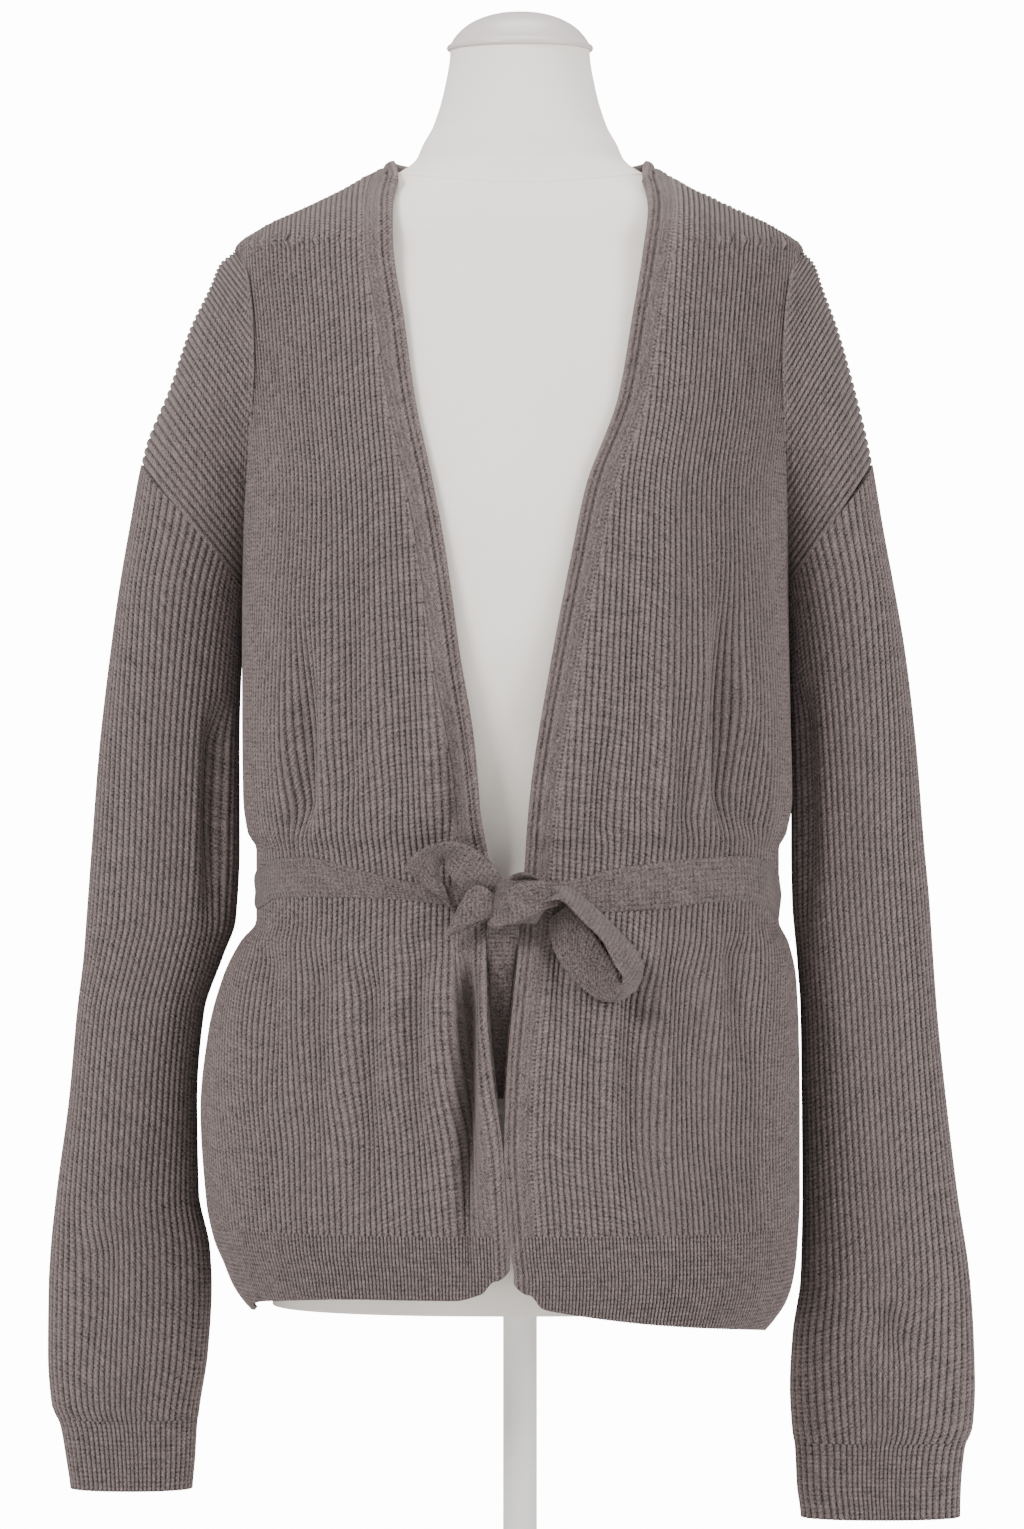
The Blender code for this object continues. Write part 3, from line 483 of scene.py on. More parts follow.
def cloth(name, shells, look):
    """One mesh object from closed walls, smooth, with its places in the cloth as a UV map."""
    verts = np.concatenate([part[0] for part in shells])
    places = np.concatenate([part[2] for part in shells])
    faces = []
    start = 0
    for part in shells:
        faces += [[start + corner for corner in face] for face in part[1]]
        start += len(part[0])
    mesh = bpy.data.meshes.new(name)
    mesh.from_pydata(verts.tolist(), [], faces)
    layer = mesh.uv_layers.new(name="knit")
    corners = np.empty(len(mesh.loops), np.int32)
    mesh.loops.foreach_get("vertex_index", corners)
    layer.data.foreach_set("uv", places[corners].astype(np.float32).ravel())
    mesh.shade_smooth()
    mesh.set_sharp_from_angle(angle=CRISP)
    mesh.materials.append(look)
    thing = bpy.data.objects.new(name, mesh)
    bpy.context.scene.collection.objects.link(thing)
    return thing


# The yarn is a marled taupe wool. A pattern that follows the knit reads the rib's number and the
# length along the rib from the UV map.
class Value:
    """An output in a node tree. Python's operators on it add maths nodes."""

    def __init__(self, nodes, socket):
        self.nodes = nodes
        self.socket = socket

    def maths(self, operation, *others):
        entries = dict(enumerate((self,) + others))
        return self.nodes.add("ShaderNodeMath", "Value", entries, {"operation": operation})

    def __add__(self, other):
        return self.maths("ADD", other)

    def __radd__(self, other):
        return self.maths("ADD", other)

    def __sub__(self, other):
        return self.maths("SUBTRACT", other)

    def __rsub__(self, other):
        return self.maths("MULTIPLY", -1.0).maths("ADD", other)

    def __mul__(self, other):
        return self.maths("MULTIPLY", other)

    def __rmul__(self, other):
        return self.maths("MULTIPLY", other)

    def sine(self):
        return self.maths("SINE")

    def size(self):
        return self.maths("ABSOLUTE")


class Nodes:
    """A node tree. A node's settings are made first, and then its entries."""

    def __init__(self, tree):
        self.tree = tree

    def add(self, kind, output, entries=None, settings=None):
        made = self.tree.nodes.new(kind)
        for name, value in (settings or {}).items():
            setattr(made, name, value)
        self.fill(made, entries or {})
        return Value(self, made.outputs[output])

    def fill(self, made, entries):
        """Gives a node's entries numbers, colours or links."""
        for name, value in entries.items():
            if isinstance(value, Value):
                self.tree.links.new(value.socket, made.inputs[name])
            else:
                made.inputs[name].default_value = value

    def surface(self, entries):
        """Sets entries of the material's own shader."""
        self.fill(self.tree.nodes["Principled BSDF"], entries)


def start_look(name, entries):
    """A new material with these entries of its shader set, and its nodes."""
    made = bpy.data.materials.new(name)
    made.use_nodes = True
    nodes = Nodes(made.node_tree)
    nodes.surface(entries)
    return made, nodes


# One stitch along the rib, and how far its rows bow between two ribs
STITCH = 2.4 * MM
STITCH_BOW = 1.6
# How much of the fibres' flecks, the yarn's darker stretches, soft clouds and stitches shows
FLECKS = 4.2
STRETCHES = 1.2
CLOUDS = 0.3
STITCHES = 0.16
# The rib's mean height, round which its painted groove shade and painted top light balance
RIDGE_MEAN = 0.62
DARKEST = 0.15


def knit_look(name, colour, painted_groove_shade, stitch_height, ribbed):
    """Marled knit. The third entry sets the painted shade in the grooves and the painted light on the rib
    tops; ribbed is 1 on rib, 0 on plain.
    """
    made, nodes = start_look(name, {
        "Roughness": 0.95, "Specular IOR Level": 0.15, "Sheen Weight": 0.25, "Sheen Roughness": 0.6,
        "Sheen Tint": (0.62, 0.55, 0.52, 1)})
    place = nodes.add("ShaderNodeTexCoord", "Object")
    knit = nodes.add("ShaderNodeTexCoord", "UV")
    across = nodes.add("ShaderNodeSeparateXYZ", "X", {"Vector": knit})
    along = nodes.add("ShaderNodeSeparateXYZ", "Y", {"Vector": knit})
    streak = nodes.add("ShaderNodeMapping", "Vector", {"Vector": knit, "Scale": (0.3, 260.0, 1.0)})

    def noise(vector, scale, detail, roughness):
        return nodes.add("ShaderNodeTexNoise", "Fac", {"Vector": vector, "Scale": scale, "Detail": detail,
                                                       "Roughness": roughness})

    fleck = noise(place, 1100.0, 3.0, 0.7) - 0.5
    stretch = noise(streak, 1.0, 4.0, 0.6) - 0.5
    cloud = noise(place, 60.0, 3.0, 0.6) - 0.5
    ridge = (across * math.pi).sine().size()
    bow = (across * (2 * math.pi)).sine().size() * STITCH_BOW
    stitch = (along * (2 * math.pi / STITCH) + bow).sine()
    tone = 1.0 + fleck * FLECKS + stretch * STRETCHES + cloud * CLOUDS
    # Painted shade darkens the grooves between ribs and painted light lifts the rib tops
    tone = tone + stitch * STITCHES + (ridge - RIDGE_MEAN) * painted_groove_shade
    tone = tone.maths("MAXIMUM", DARKEST)
    shades = dict(enumerate(tone * part for part in colour))
    height = stitch * stitch_height + fleck * 0.5 + ridge * (0.6 * ribbed)
    nodes.surface({
        "Base Color": nodes.add("ShaderNodeCombineColor", "Color", shades),
        "Normal": nodes.add("ShaderNodeBump", "Normal", {"Strength": 0.5, "Distance": 0.8 * MM,
                                                         "Height": height})})
    return made


# The body's rib knit, with strong painted shade in the grooves between its ribs
RIB_KNIT = knit_look("rib knit", (0.118, 0.092, 0.088), painted_groove_shade=0.85, stitch_height=0.5, ribbed=1.0)
# A rib's heights at the points across it, from one groove to the next
RIB_PARTS = 4
RIB_HEIGHTS = np.array([0.0, 0.85, 1.0, 0.85])
RIB_DEPTH = 1.1 * MM


def rib_relief(ribs, rows, wrap=False):
    """Ribs side by side over a grid: how far each point is raised, and its rib number."""
    count = ribs * RIB_PARTS + (0 if wrap else 1)
    raised = np.resize(RIB_HEIGHTS, count) * RIB_DEPTH
    return np.tile(raised, (rows, 1)), np.arange(count) / RIB_PARTS


def length_along(points, axis):
    """The distance along a grid's lines, for each point."""
    step = np.linalg.norm(np.diff(points, axis=axis), axis=2)
    return np.insert(np.cumsum(step, axis), 0, 0, axis)


# The rib's pitch at each height. Ribs that no longer fit run out at the plain strip by the V edge.
PitchRow = namedtuple("PitchRow", "z pitch")
PITCHES = [
    PitchRow(140, 3.2),
    PitchRow(366, 3.2),
    PitchRow(396, 3.3),
    PitchRow(450, 3.45),
    PitchRow(520, 3.25),
    PitchRow(600, 2.95),
    PitchRow(770, 2.95),
]
# The plain strip's width, the tuck in which ribs run out, and how far the cloth there is raised
STRIP = 7.3 * MM
TUCK = 0.8 * MM
STRIP_RELIEF = 0.35
# How many ribs are gone at the belt, and how many of those that the slanting V edge meets higher up
LEAST_GONE = 1.5
EDGE_SHARE = 0.6
# A panel's width is measured at this many heights, and at this many places across
LEVELS = 500
SHARES = 65


def panel_lengths(side, face):
    """A panel's width to the join and to the side, and the share at even steps of width, by height."""
    heights = np.append(np.linspace(BODY_END, SHOULDER_TIP - MM, LEVELS - 1), SHOULDER_TIP)
    grid, share = np.meshgrid(heights, np.linspace(0, 1, SHARES), indexing="ij")
    widths = []
    start = panel_angles(side, face, grid[:, :1], share[:, :1])
    to_side = start + (side * math.pi / 2 - start) * share
    for angle in (panel_angles(side, face, grid, share), to_side):
        x, y = body_oval(angle, grid)
        step = np.hypot(np.diff(x, axis=1), np.diff(y, axis=1))
        widths.append(np.insert(np.cumsum(step, 1), 0, 0, 1))
    even = [np.interp(share[0], row / row[-1], share[0]) for row in widths[0]]
    return heights, widths[0][:, -1], widths[1][:, -1], np.array(even)


PANELS = {(side, face): panel_lengths(side, face) for side in (LEFT, RIGHT) for face in (FRONT, BACK)}


def share_at(side, face, z, fraction):
    """The share of a panel's angle at a fraction of its width."""
    heights, _, _, even = PANELS[side, face]
    row = np.clip((z - BODY_END) / (heights[1] - heights[0]), 0, LEVELS - 2.001)
    row = np.where(z >= SHOULDER_TIP, LEVELS - 1, row)
    column = np.clip(fraction, 0, 1) * (SHARES - 1)
    i = row.astype(int)
    j = np.minimum(column.astype(int), SHARES - 2)
    below = np.minimum(i + 1, LEVELS - 1)
    upper = even[i, j] * (1 - column + j) + even[i, j + 1] * (column - j)
    lower = even[below, j] * (1 - column + j) + even[below, j + 1] * (column - j)
    return upper + (lower - upper) * (row - i)


def spread_ribs(side, face, z, ribs):
    """Each column's share across a panel, with ribs that run out at its V edge and at the join.

    Also how far each column's rib shows, and its number.
    """
    heights, to_join, to_side, _ = PANELS[side, face]
    wide = np.interp(z, heights, to_side)
    join = np.interp(np.minimum(z, heights[-2]), heights, to_join)
    number = np.arange(ribs * RIB_PARTS + 1) / RIB_PARTS
    pitch = curve(PITCHES, "pitch")(z / MM)
    first = 0.0
    gone = np.zeros(np.shape(z))
    if face == FRONT:
        first = STRIP
        edge = edge_curves[side](z / MM) * side - edge_curves[side](BELT_HEIGHT / MM) * side
        gone = LEAST_GONE + EDGE_SHARE * np.maximum(edge, 0) / pitch
    pitch = np.maximum(pitch, (wide - first) / (ribs - gone))
    place = first + (number - gone) * pitch
    if face == FRONT:
        place = np.where(number < gone, STRIP - TUCK * (1 - number / gone), place)
    total = np.where(z < SHOULDER_TIP, join, wide)
    limit = total - TUCK
    last = gone + (limit - first) / pitch
    under = limit + TUCK * (number - last) / np.maximum(ribs - last, 0.01)
    share = share_at(side, face, z, np.where(place > limit, under, place) / total)
    raised = np.clip(number - gone + (face == BACK), 0, 1)
    raised = raised * np.clip((join - TUCK - place) / pitch + 0.5, 0, 1)
    # Columns where ribs run out take the number of a rib's top, so they get painted light and no painted
    # groove shade
    number = np.where(number < gone, np.floor(gone) + 0.5, number)
    number = np.where(place > limit, np.floor(last) + 0.5, number)
    return share, raised, number


def body_panel(side, face, ribs, rows, hem=None):
    """A stretch of a front or of half the back, in ribs from the edge or middle to the side."""
    share = np.linspace(0, 1, ribs * RIB_PARTS + 1)
    down = np.linspace(0, 1, rows)[:, None]
    if hem is None:
        tip = np.full(share.shape, SHOULDER_TIP)
        top = rib_tops(side, face, spread_ribs(side, face, tip, ribs)[0])
        z = top + (BODY_END - top) * down
        share = spread_ribs(side, face, z, ribs)[0]
    else:
        z = BODY_END + (hem(share) - BODY_END) * down
    angle = panel_angles(side, face, z, np.broadcast_to(share, z.shape))
    points = body_points(angle, z)
    from_join = length_along(points[:, ::-1], 1)[:, ::-1]
    points[..., 1] += face * join_fill(z, from_join)
    return points


# The strip's points across, its swell, and its crosswise stitches: their pitch and their slant
STRIP_COLUMNS = 9
STRIP_SWELL = 0.25
STRIP_PITCH = 2.2 * MM
STRIP_SLANT = 0.8
PANEL_ROWS = 171


def edge_strip(side):
    """The plain strip beside the band, with its stitches lying crosswise."""
    heights, to_join, to_side, _ = PANELS[side, FRONT]
    z = np.linspace(BODY_TOP, BODY_END, PANEL_ROWS)[:, None]
    across = np.linspace(0, 1, STRIP_COLUMNS)
    width = np.where(z < SHOULDER_TIP, np.interp(z, heights, to_join), to_side[-1])
    level = np.broadcast_to(z, (PANEL_ROWS, STRIP_COLUMNS))
    share = share_at(side, FRONT, level, (STRIP - TUCK) * across / width)
    points = body_points(panel_angles(side, FRONT, level, share), z)
    swell = STRIP_SWELL * RIB_DEPTH * np.sin(math.pi * across) ** 0.5
    relief = np.broadcast_to(swell, share.shape)
    places = np.stack([length_along(points, 0) / STRIP_PITCH + across * STRIP_SLANT,
                       length_along(points, 1)], -1)
    return shell(points, points * (0, 0, 1), relief, places, KNIT_WALL)


# The soft bridge over the crease under the dropped shoulder: its depth and width, where it starts,
# how long it grows, and where it fades out again
FILL_DEPTH = 11 * MM
FILL_WIDTH = 34 * MM
FILL_START = 540
FILL_RISE = 110
FILL_END = SHOULDER_TIP / MM + 4
FILL_FADE = 22


def join_fill(z, away):
    """How far the cloth bridges the crease where the dropped shoulder leaves the body."""
    level = z / MM
    most = FILL_DEPTH * ease((level - FILL_START) / FILL_RISE) * ease((FILL_END - level) / FILL_FADE)
    return most * np.clip(1 - away / FILL_WIDTH, 0, 1) ** 2


# The dropped shoulder's ribs start this far under the shoulder's tip and fall towards the seam
# over the arm by this power. They rise out of the join within a twelfth of their length.
CAP_START = 1.2 * MM
CAP_FALL = 1.5
CAP_FADE = 12
CAP_MIDDLE = 155 * MM


def cap_panel(side, face, rows_of_ribs, columns):
    """The dropped shoulder: ribs run from the ridge over the arm down to the join at the body."""
    count = rows_of_ribs * RIB_PARTS + 1
    z_join = np.linspace(SHOULDER_TIP - CAP_START, ARMPIT, count)[:, None]
    share = np.linspace(0, 1, columns)[None, :]
    turn_body = join_turns(side, face, z_join)
    start_x, start_y = body_oval(facing_turn(side, face, turn_body), z_join)
    down = (SHOULDER_TIP - z_join) / (SHOULDER_TIP - ARMPIT)
    z_ridge = SHOULDER_TIP - (SHOULDER_TIP - SLEEVE_CAP) * down ** CAP_FALL
    x_ridge = sleeve_curves[side]["outer"](z_ridge / MM)
    part = np.sin(share * math.pi / 2)
    z = z_join + (z_ridge - z_join) * part
    x = np.abs(start_x) + (x_ridge - np.abs(start_x)) * part
    table = {name: value(z / MM) for name, value in sleeve_curves[side].items()}
    half = (table["outer"] - table["inner"]) / 2
    out = np.clip((x - (table["outer"] + table["inner"]) / 2) / half, -1, 1)
    forward = (1 - np.abs(out) ** SLEEVE_POWER) ** (1 / SLEEVE_POWER)
    angle = np.arctan2(half * out, table["half_depth"] * forward)
    points = sleeve_points(side, angle if face == FRONT else math.pi - angle, z)
    around = np.arctan2(np.abs(points[..., 0]), points[..., 1] * face)
    body_x, body_y = body_oval(facing_turn(side, face, around), z)
    deeper = np.hypot(body_x, body_y) > np.hypot(points[..., 0], points[..., 1])
    points[..., 0] = np.where(deeper, body_x, points[..., 0])
    points[..., 1] = np.where(deeper, body_y, points[..., 1])
    points[:, 0, 0] = start_x[:, 0]
    points[:, 0, 1] = start_y[:, 0]
    points[..., 1] += face * join_fill(z, length_along(points, 1))
    return points


def ribbed_body(side, face, ribs, rows=PANEL_ROWS, hem=None):
    """The closed wall of a ribbed stretch of the body."""
    points = body_panel(side, face, ribs, rows, hem)
    relief, number = rib_relief(ribs, rows)
    if hem is None:
        _, raised, number = spread_ribs(side, face, points[..., 2], ribs)
        relief = relief * raised + STRIP_RELIEF * RIB_DEPTH * (1 - raised)
    inside = points * (0, 0, 1)
    places = np.stack([np.broadcast_to(number, relief.shape), length_along(points, 0)], -1)
    return shell(points, inside, relief, places, KNIT_WALL)


def ribbed_cap(side, face, ribs=36, columns=41):
    """The closed wall of half a dropped shoulder."""
    points = cap_panel(side, face, ribs, columns)
    relief, number = rib_relief(ribs, columns)
    raised = ease(np.linspace(0, 1, columns) * CAP_FADE)[None, :]
    relief = relief.T * raised + STRIP_RELIEF * RIB_DEPTH * (1 - raised)
    middle = np.full(relief.shape, side * CAP_MIDDLE)
    inside = np.stack([middle, np.zeros(relief.shape), points[..., 2]], -1)
    places = np.stack([np.broadcast_to(number[:, None], relief.shape), length_along(points, 1)], -1)
    return shell(points, inside, relief, places, KNIT_WALL, row_stride=4, column_stride=2)


# The left front: rib knit from the hem up to the shoulder and out over the dropped shoulder.
# Its ribs hang straight and run out along the V edge, at a plain strip that the band is linked to.
FRONT_RIBS = 88
left_front = cloth("left_front_knit", [edge_strip(LEFT), ribbed_body(LEFT, FRONT, FRONT_RIBS),
                                       ribbed_cap(LEFT, FRONT)], RIB_KNIT)
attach(left_front, "root")
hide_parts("left_front")

# The right front: the same rib knit, mirrored, with folds of its own. It closes edge to edge with
# the left front under the knot, with no buttons.
right_front = cloth("right_front_knit", [edge_strip(RIGHT), ribbed_body(RIGHT, FRONT, FRONT_RIBS),
                                         ribbed_cap(RIGHT, FRONT)], RIB_KNIT)
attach(right_front, "root")
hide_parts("right_front")

# The back: one panel of the same rib knit between the side seams, up to the shoulder line and out
# over both dropped shoulders. Its ribs run straight from the middle, where two of them meet.
BACK_RIBS = 86
BACK_ROWS = 101
back_halves = [ribbed_body(side, BACK, BACK_RIBS, BACK_ROWS) for side in (LEFT, RIGHT)]
back = cloth("back_knit", back_halves + [ribbed_cap(side, BACK) for side in (LEFT, RIGHT)],
             RIB_KNIT)
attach(back, "root")
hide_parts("back")

# The hem rib: finer than the body's, in three stretches, with rounded corners at the opening.
# It hangs lowest at the viewer's right.
HEM_RIBS = 104
HEM_ROWS = 17
# The hem's lower edge, from the opening or the middle of the back to the side seam
HemRow = namedtuple("HemRow", "share left right back_left back_right")
HEM = [
    HemRow(0.0, 177, 170, 150, 150),
    HemRow(0.04, 170.5, 163, 150, 150),
    HemRow(0.12, 167, 160, 150, 150),
    HemRow(0.35, 167, 154, 150, 150),
    HemRow(0.70, 163, 148, 154, 149),
    HemRow(0.88, 156.5, 145, 157, 147),
    HemRow(1.0, 154, 143, 155, 144.5),
]


def hem_stretch(side, face, column):
    """The hem rib under one front or half the back."""
    return ribbed_body(side, face, HEM_RIBS, HEM_ROWS, curve(HEM, column))


hem_left = cloth("hem_left_knit", [hem_stretch(LEFT, FRONT, "left")], RIB_KNIT)
hem_right = cloth("hem_right_knit", [hem_stretch(RIGHT, FRONT, "right")], RIB_KNIT)
hem_back = cloth("hem_back_knit", [hem_stretch(LEFT, BACK, "back_left"),
                                   hem_stretch(RIGHT, BACK, "back_right")], RIB_KNIT)
for hem, node in ((hem_left, "hem_left"), (hem_right, "hem_right"), (hem_back, "hem_back")):
    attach(hem, "root")
    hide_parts(node)


# The sleeves and cuffs: ribbed tubes from the dropped shoulder's slanting seam down to the wrist,
# with a finer and tighter rib at the cuff.
SLEEVE_RIBS = 62
CUFF_RIBS = 66
CUFF_ROWS = 17
CUFF_TUCK = 0.2 * MM
SEAM_GAP = 0.3 * MM


def sleeve_tube(side, top, bottom, ribs, rows, tuck=0.0):
    """A ribbed tube. Its rows slant at the shoulder seam and level out down the arm."""
    columns = ribs * RIB_PARTS
    around = np.arange(columns) / columns * 2
    angle = -math.pi / 2 + math.pi * around
    inner_z = (top + (bottom - top) * np.linspace(0, 1, rows))[:, None]
    rise = (SLEEVE_CAP - ARMPIT) * np.clip((inner_z - SLEEVE_LEVEL) / (ARMPIT - SLEEVE_LEVEL), 0, 1) ** 2
    table = {name: value(inner_z / MM) for name, value in sleeve_curves[side].items()}
    half = (table["outer"] - table["inner"]) / 2
    out = oval(angle, half, table["half_depth"], SLEEVE_POWER)[0] / half
    z = inner_z + rise * (1 + out) / 2
    points = sleeve_points(side, np.broadcast_to(angle, z.shape), z)
    centre = points.mean(1, keepdims=True)
    relief, number = rib_relief(ribs, rows, wrap=True)
    relief = relief - tuck
    places = np.stack([np.broadcast_to(number, relief.shape), length_along(points, 0)], -1)
    return shell(points, centre, relief, places, KNIT_WALL, wrap=True)


def sleeve(name, side, cuff_top, rows):
    tube = sleeve_tube(side, ARMPIT - SEAM_GAP, cuff_top + SEAM_GAP, SLEEVE_RIBS, rows)
    return cloth(name, [tube], RIB_KNIT)


def cuff(name, side, top, bottom):
    return cloth(name, [sleeve_tube(side, top, bottom, CUFF_RIBS, CUFF_ROWS, CUFF_TUCK)], RIB_KNIT)


left_sleeve = sleeve("left_sleeve_knit", LEFT, 96 * MM, 145)
right_sleeve = sleeve("right_sleeve_knit", RIGHT, 84 * MM, 149)
left_cuff = cuff("left_cuff_knit", LEFT, 96 * MM, 58.5 * MM)
right_cuff = cuff("right_cuff_knit", RIGHT, 84 * MM, 43.5 * MM)
for tube, node in ((left_sleeve, "left_sleeve"), (right_sleeve, "right_sleeve"),
                   (left_cuff, "left_cuff"), (right_cuff, "right_cuff")):
    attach(tube, "root")
    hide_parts(node)


# The front band: one narrow linked band up one front, round the back neck and down the other.
# Its open edge rolls into a soft cord, with a dark groove beside it.
BAND_WALL = 2.4 * MM
BAND_FEET = {LEFT: 177 * MM, RIGHT: 170 * MM}
BAND_TOP = 750 * MM
BAND_LEVELS = 150
NECK_TURNS = 31
BAND_STEP = 3 * MM
BAND_STITCHES = 2.5
BAND_START = 0.25
# The band's feet rise towards the opening by this much, over this height, as the hem's corners do
FOOT_RISE = 6 * MM
FOOT_HEIGHT = 24 * MM
# How far the band's face is raised at even steps from the front's rib to the open edge
BAND_PROFILE = np.array([0.1, 0.45, 0.4, -0.5, 0.7, 1.15, 1.2, 0.95, 0.2]) * MM
PATH_PARTS = 12


def smooth_path(points, step):
    """The same line with points at even steps, on a smooth curve."""
    points = np.asarray(points, float)
    padded = np.concatenate([2 * points[:1] - points[1:2], points, 2 * points[-1:] - points[-2:-1]])
    made = []
    for i in range(len(points) - 1):
        p0, p1, p2, p3 = padded[i:i + 4]
        t = np.linspace(0, 1, PATH_PARTS, endpoint=False).reshape(-1, *([1] * (points.ndim - 1)))
        made.append(p1 + 0.5 * t * (p2 - p0 + t * (2 * p0 - 5 * p1 + 4 * p2 - p3
                                                   + t * (3 * (p1 - p2) + p3 - p0))))
    made = np.concatenate(made + [points[-1:]])
    middle = made if made.ndim == 2 else made.mean(1)
    place = np.insert(np.cumsum(np.linalg.norm(np.diff(middle, axis=0), axis=1)), 0, 0)
    count = int(place[-1] / step / 2) * 2 + 1
    wanted = np.linspace(0, place[-1], count)
    flat = made.reshape(len(made), -1)
    even = np.stack([np.interp(wanted, place, column) for column in flat.T], -1)
    return even.reshape((count,) + made.shape[1:])


def band_stations(across):
    """The band's level sections, from the left front's foot to the right front's."""
    legs = {}
    for side in (LEFT, RIGHT):
        foot = BAND_FEET[side]
        legs[side] = []
        for z in np.linspace(foot, BAND_TOP, BAND_LEVELS):
            edge = edge_curves[side](z / MM) * side
            turns = turn_at(side, edge + BAND_WIDTH * (1 - across), np.full(across.shape, z))
            rise = FOOT_RISE * across ** 2 * ease((foot + FOOT_HEIGHT - z) / FOOT_HEIGHT)
            legs[side].append(body_points(side * turns, z + rise))
    neck = []
    for turn in np.linspace(-math.pi / 2, -3 * math.pi / 2, NECK_TURNS):
        z = BODY_TOP + (NECK_EDGE - BODY_TOP) * across
        neck.append(body_points(np.full(across.shape, turn), z))
    return smooth_path(np.array(legs[LEFT] + neck + legs[RIGHT][::-1]), BAND_STEP)


band_across = np.linspace(0, 1, len(BAND_PROFILE))
band_points = band_stations(band_across)
band_relief = np.tile(BAND_PROFILE, (len(band_points), 1))
band_stitches = np.broadcast_to(band_across * BAND_STITCHES + BAND_START, band_relief.shape)
band_places = np.stack([band_stitches, length_along(band_points, 0)], -1)
band = cloth("front_band_knit", [shell(band_points, band_points * (0, 0, 1), band_relief, band_places,
                                       BAND_WALL)], RIB_KNIT)
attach(band, "root")
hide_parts("front_band")


# The belt round the waist: a strip of smooth fine knit, folded flat along its middle, which draws
# the cloth in. It has soft lengthwise creases.
# Its stitch columns get faint painted shade between them
BELT_KNIT = knit_look("belt knit", (0.100, 0.078, 0.074), painted_groove_shade=0.25, stitch_height=0.35, ribbed=0.0)
BELT_WALL = 1.6 * MM
BELT_EDGE = 0.9 * MM
BELT_CREASE = 0.35 * MM
BELT_COLUMNS = 17
BELT_TURNS = 401
BELT_LIFT = 0.5 * MM
BELT_STITCHES = 8
# The belt's edges, at each place across the front, and behind
BeltRow = namedtuple("BeltRow", "x top bottom")
BELT = [
    BeltRow(-138.5, 386, 366),
    BeltRow(-126, 393, 372),
    BeltRow(-110, 394, 373),
    BeltRow(-88, 389, 373),
    BeltRow(-58, 382, 372),
    BeltRow(-41, 380, 370),
    BeltRow(-15, 379, 368),
    BeltRow(2, 381, 367),
    BeltRow(27, 382.5, 366),
    BeltRow(44, 387.5, 366),
    BeltRow(75, 392, 367.5),
    BeltRow(93, 393.5, 370),
    BeltRow(114, 394.5, 371),
    BeltRow(128, 391, 367),
    BeltRow(136, 384, 361),
]
BELT_BEHIND = BeltRow(0, 392, 368)


def belt_round():
    """A grid of points on the belt's inner face, round the waist, and the share across its width."""
    edge_right = edge_curves[RIGHT](BELT_HEIGHT / MM)
    edge_left = edge_curves[LEFT](BELT_HEIGHT / MM)
    first = float(turn_at(RIGHT, edge_right, np.array(BELT_HEIGHT)))
    last = 2 * math.pi - float(turn_at(LEFT, -edge_left, np.array(BELT_HEIGHT)))
    turn = np.linspace(first, last, BELT_TURNS)[:, None]
    across = np.linspace(-0.5, 0.5, BELT_COLUMNS)[None, :]
    x = body_oval(turn, np.full(turn.shape, BELT_HEIGHT))[0] / MM
    behind = ease(np.maximum(-np.cos(turn), 0) * 2)
    top = curve(BELT, "top")(x) * (1 - behind) + BELT_BEHIND.top * MM * behind
    bottom = curve(BELT, "bottom")(x) * (1 - behind) + BELT_BEHIND.bottom * MM * behind
    z = (top + bottom) / 2 + (top - bottom) * across
    return body_points(np.broadcast_to(turn, z.shape), z, BELT_LIFT), across


belt_points, belt_across = belt_round()
# The creases wander: about seven along the belt, which cross it slantwise
belt_along = np.linspace(0, 1, BELT_TURNS)[:, None]
waves = np.sin(belt_along * 46) * np.sin(belt_across * 9 + belt_along * 19)
belt_relief = BELT_WALL - BELT_EDGE * (2 * belt_across) ** 4 + BELT_CREASE * waves
belt_places = np.stack([np.broadcast_to(belt_across * BELT_STITCHES, belt_relief.shape),
                        length_along(belt_points, 0)], -1)
belt_waist = cloth("belt_waist_knit", [shell(belt_points, belt_points * (0, 0, 1), belt_relief,
                                             belt_places, wall=0.0, row_stride=4)], BELT_KNIT)
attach(belt_waist, "root")
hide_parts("belt_waist")


# The bow: a right loop, a small left loop, and a loop at the upper left that turns over, each a
# stretch of the folded belt. A row gives the middle of the ribbon, and half its width as a vector.
RibbonRow = namedtuple("RibbonRow", "x y z half_x half_y half_z")
RIGHT_LOOP = [
    RibbonRow(13.6, -111.2, 375.5, -1, -6, -4),
    RibbonRow(24, -112, 375.5, -2.5, -9.5, -3),
    RibbonRow(37, -112, 364, -4.2, -10, -2.5),
    RibbonRow(47, -113, 353.7, -5, -10, -1.8),
    RibbonRow(55, -114.5, 342, -7, -8.5, -1.5),
    RibbonRow(57.5, -115.5, 332.5, -5, -8.5, 1.5),
    RibbonRow(53, -115, 325.5, -0.5, -7.5, 4),
    RibbonRow(46.5, -111.5, 325.3, 5, -3, 4.5),
    RibbonRow(39.5, -109.5, 333, 9.8, -1.5, 4),
    RibbonRow(33, -108, 342, 11, -1, 4),
    RibbonRow(27, -106, 352, 10, -1, 4.2),
    RibbonRow(22.5, -104.5, 361, 7.5, -1, 3.6),
    RibbonRow(20, -103.5, 366, 5, -1, 4),
]
LEFT_LOOP = [
    RibbonRow(-12.8, -109.8, 369.5, 0, -1, 6),
    RibbonRow(-20, -112, 371, 0, -1, 9),
    RibbonRow(-28, -113, 368, 2, -2, 10.5),
    RibbonRow(-33.5, -110, 363, 4, -2, 9),
    RibbonRow(-32, -106, 362, 4, 0, 8),
    RibbonRow(-24, -104.5, 365, 1, 0, 7),
    RibbonRow(-15, -104, 368, 0, 0, 5),
]
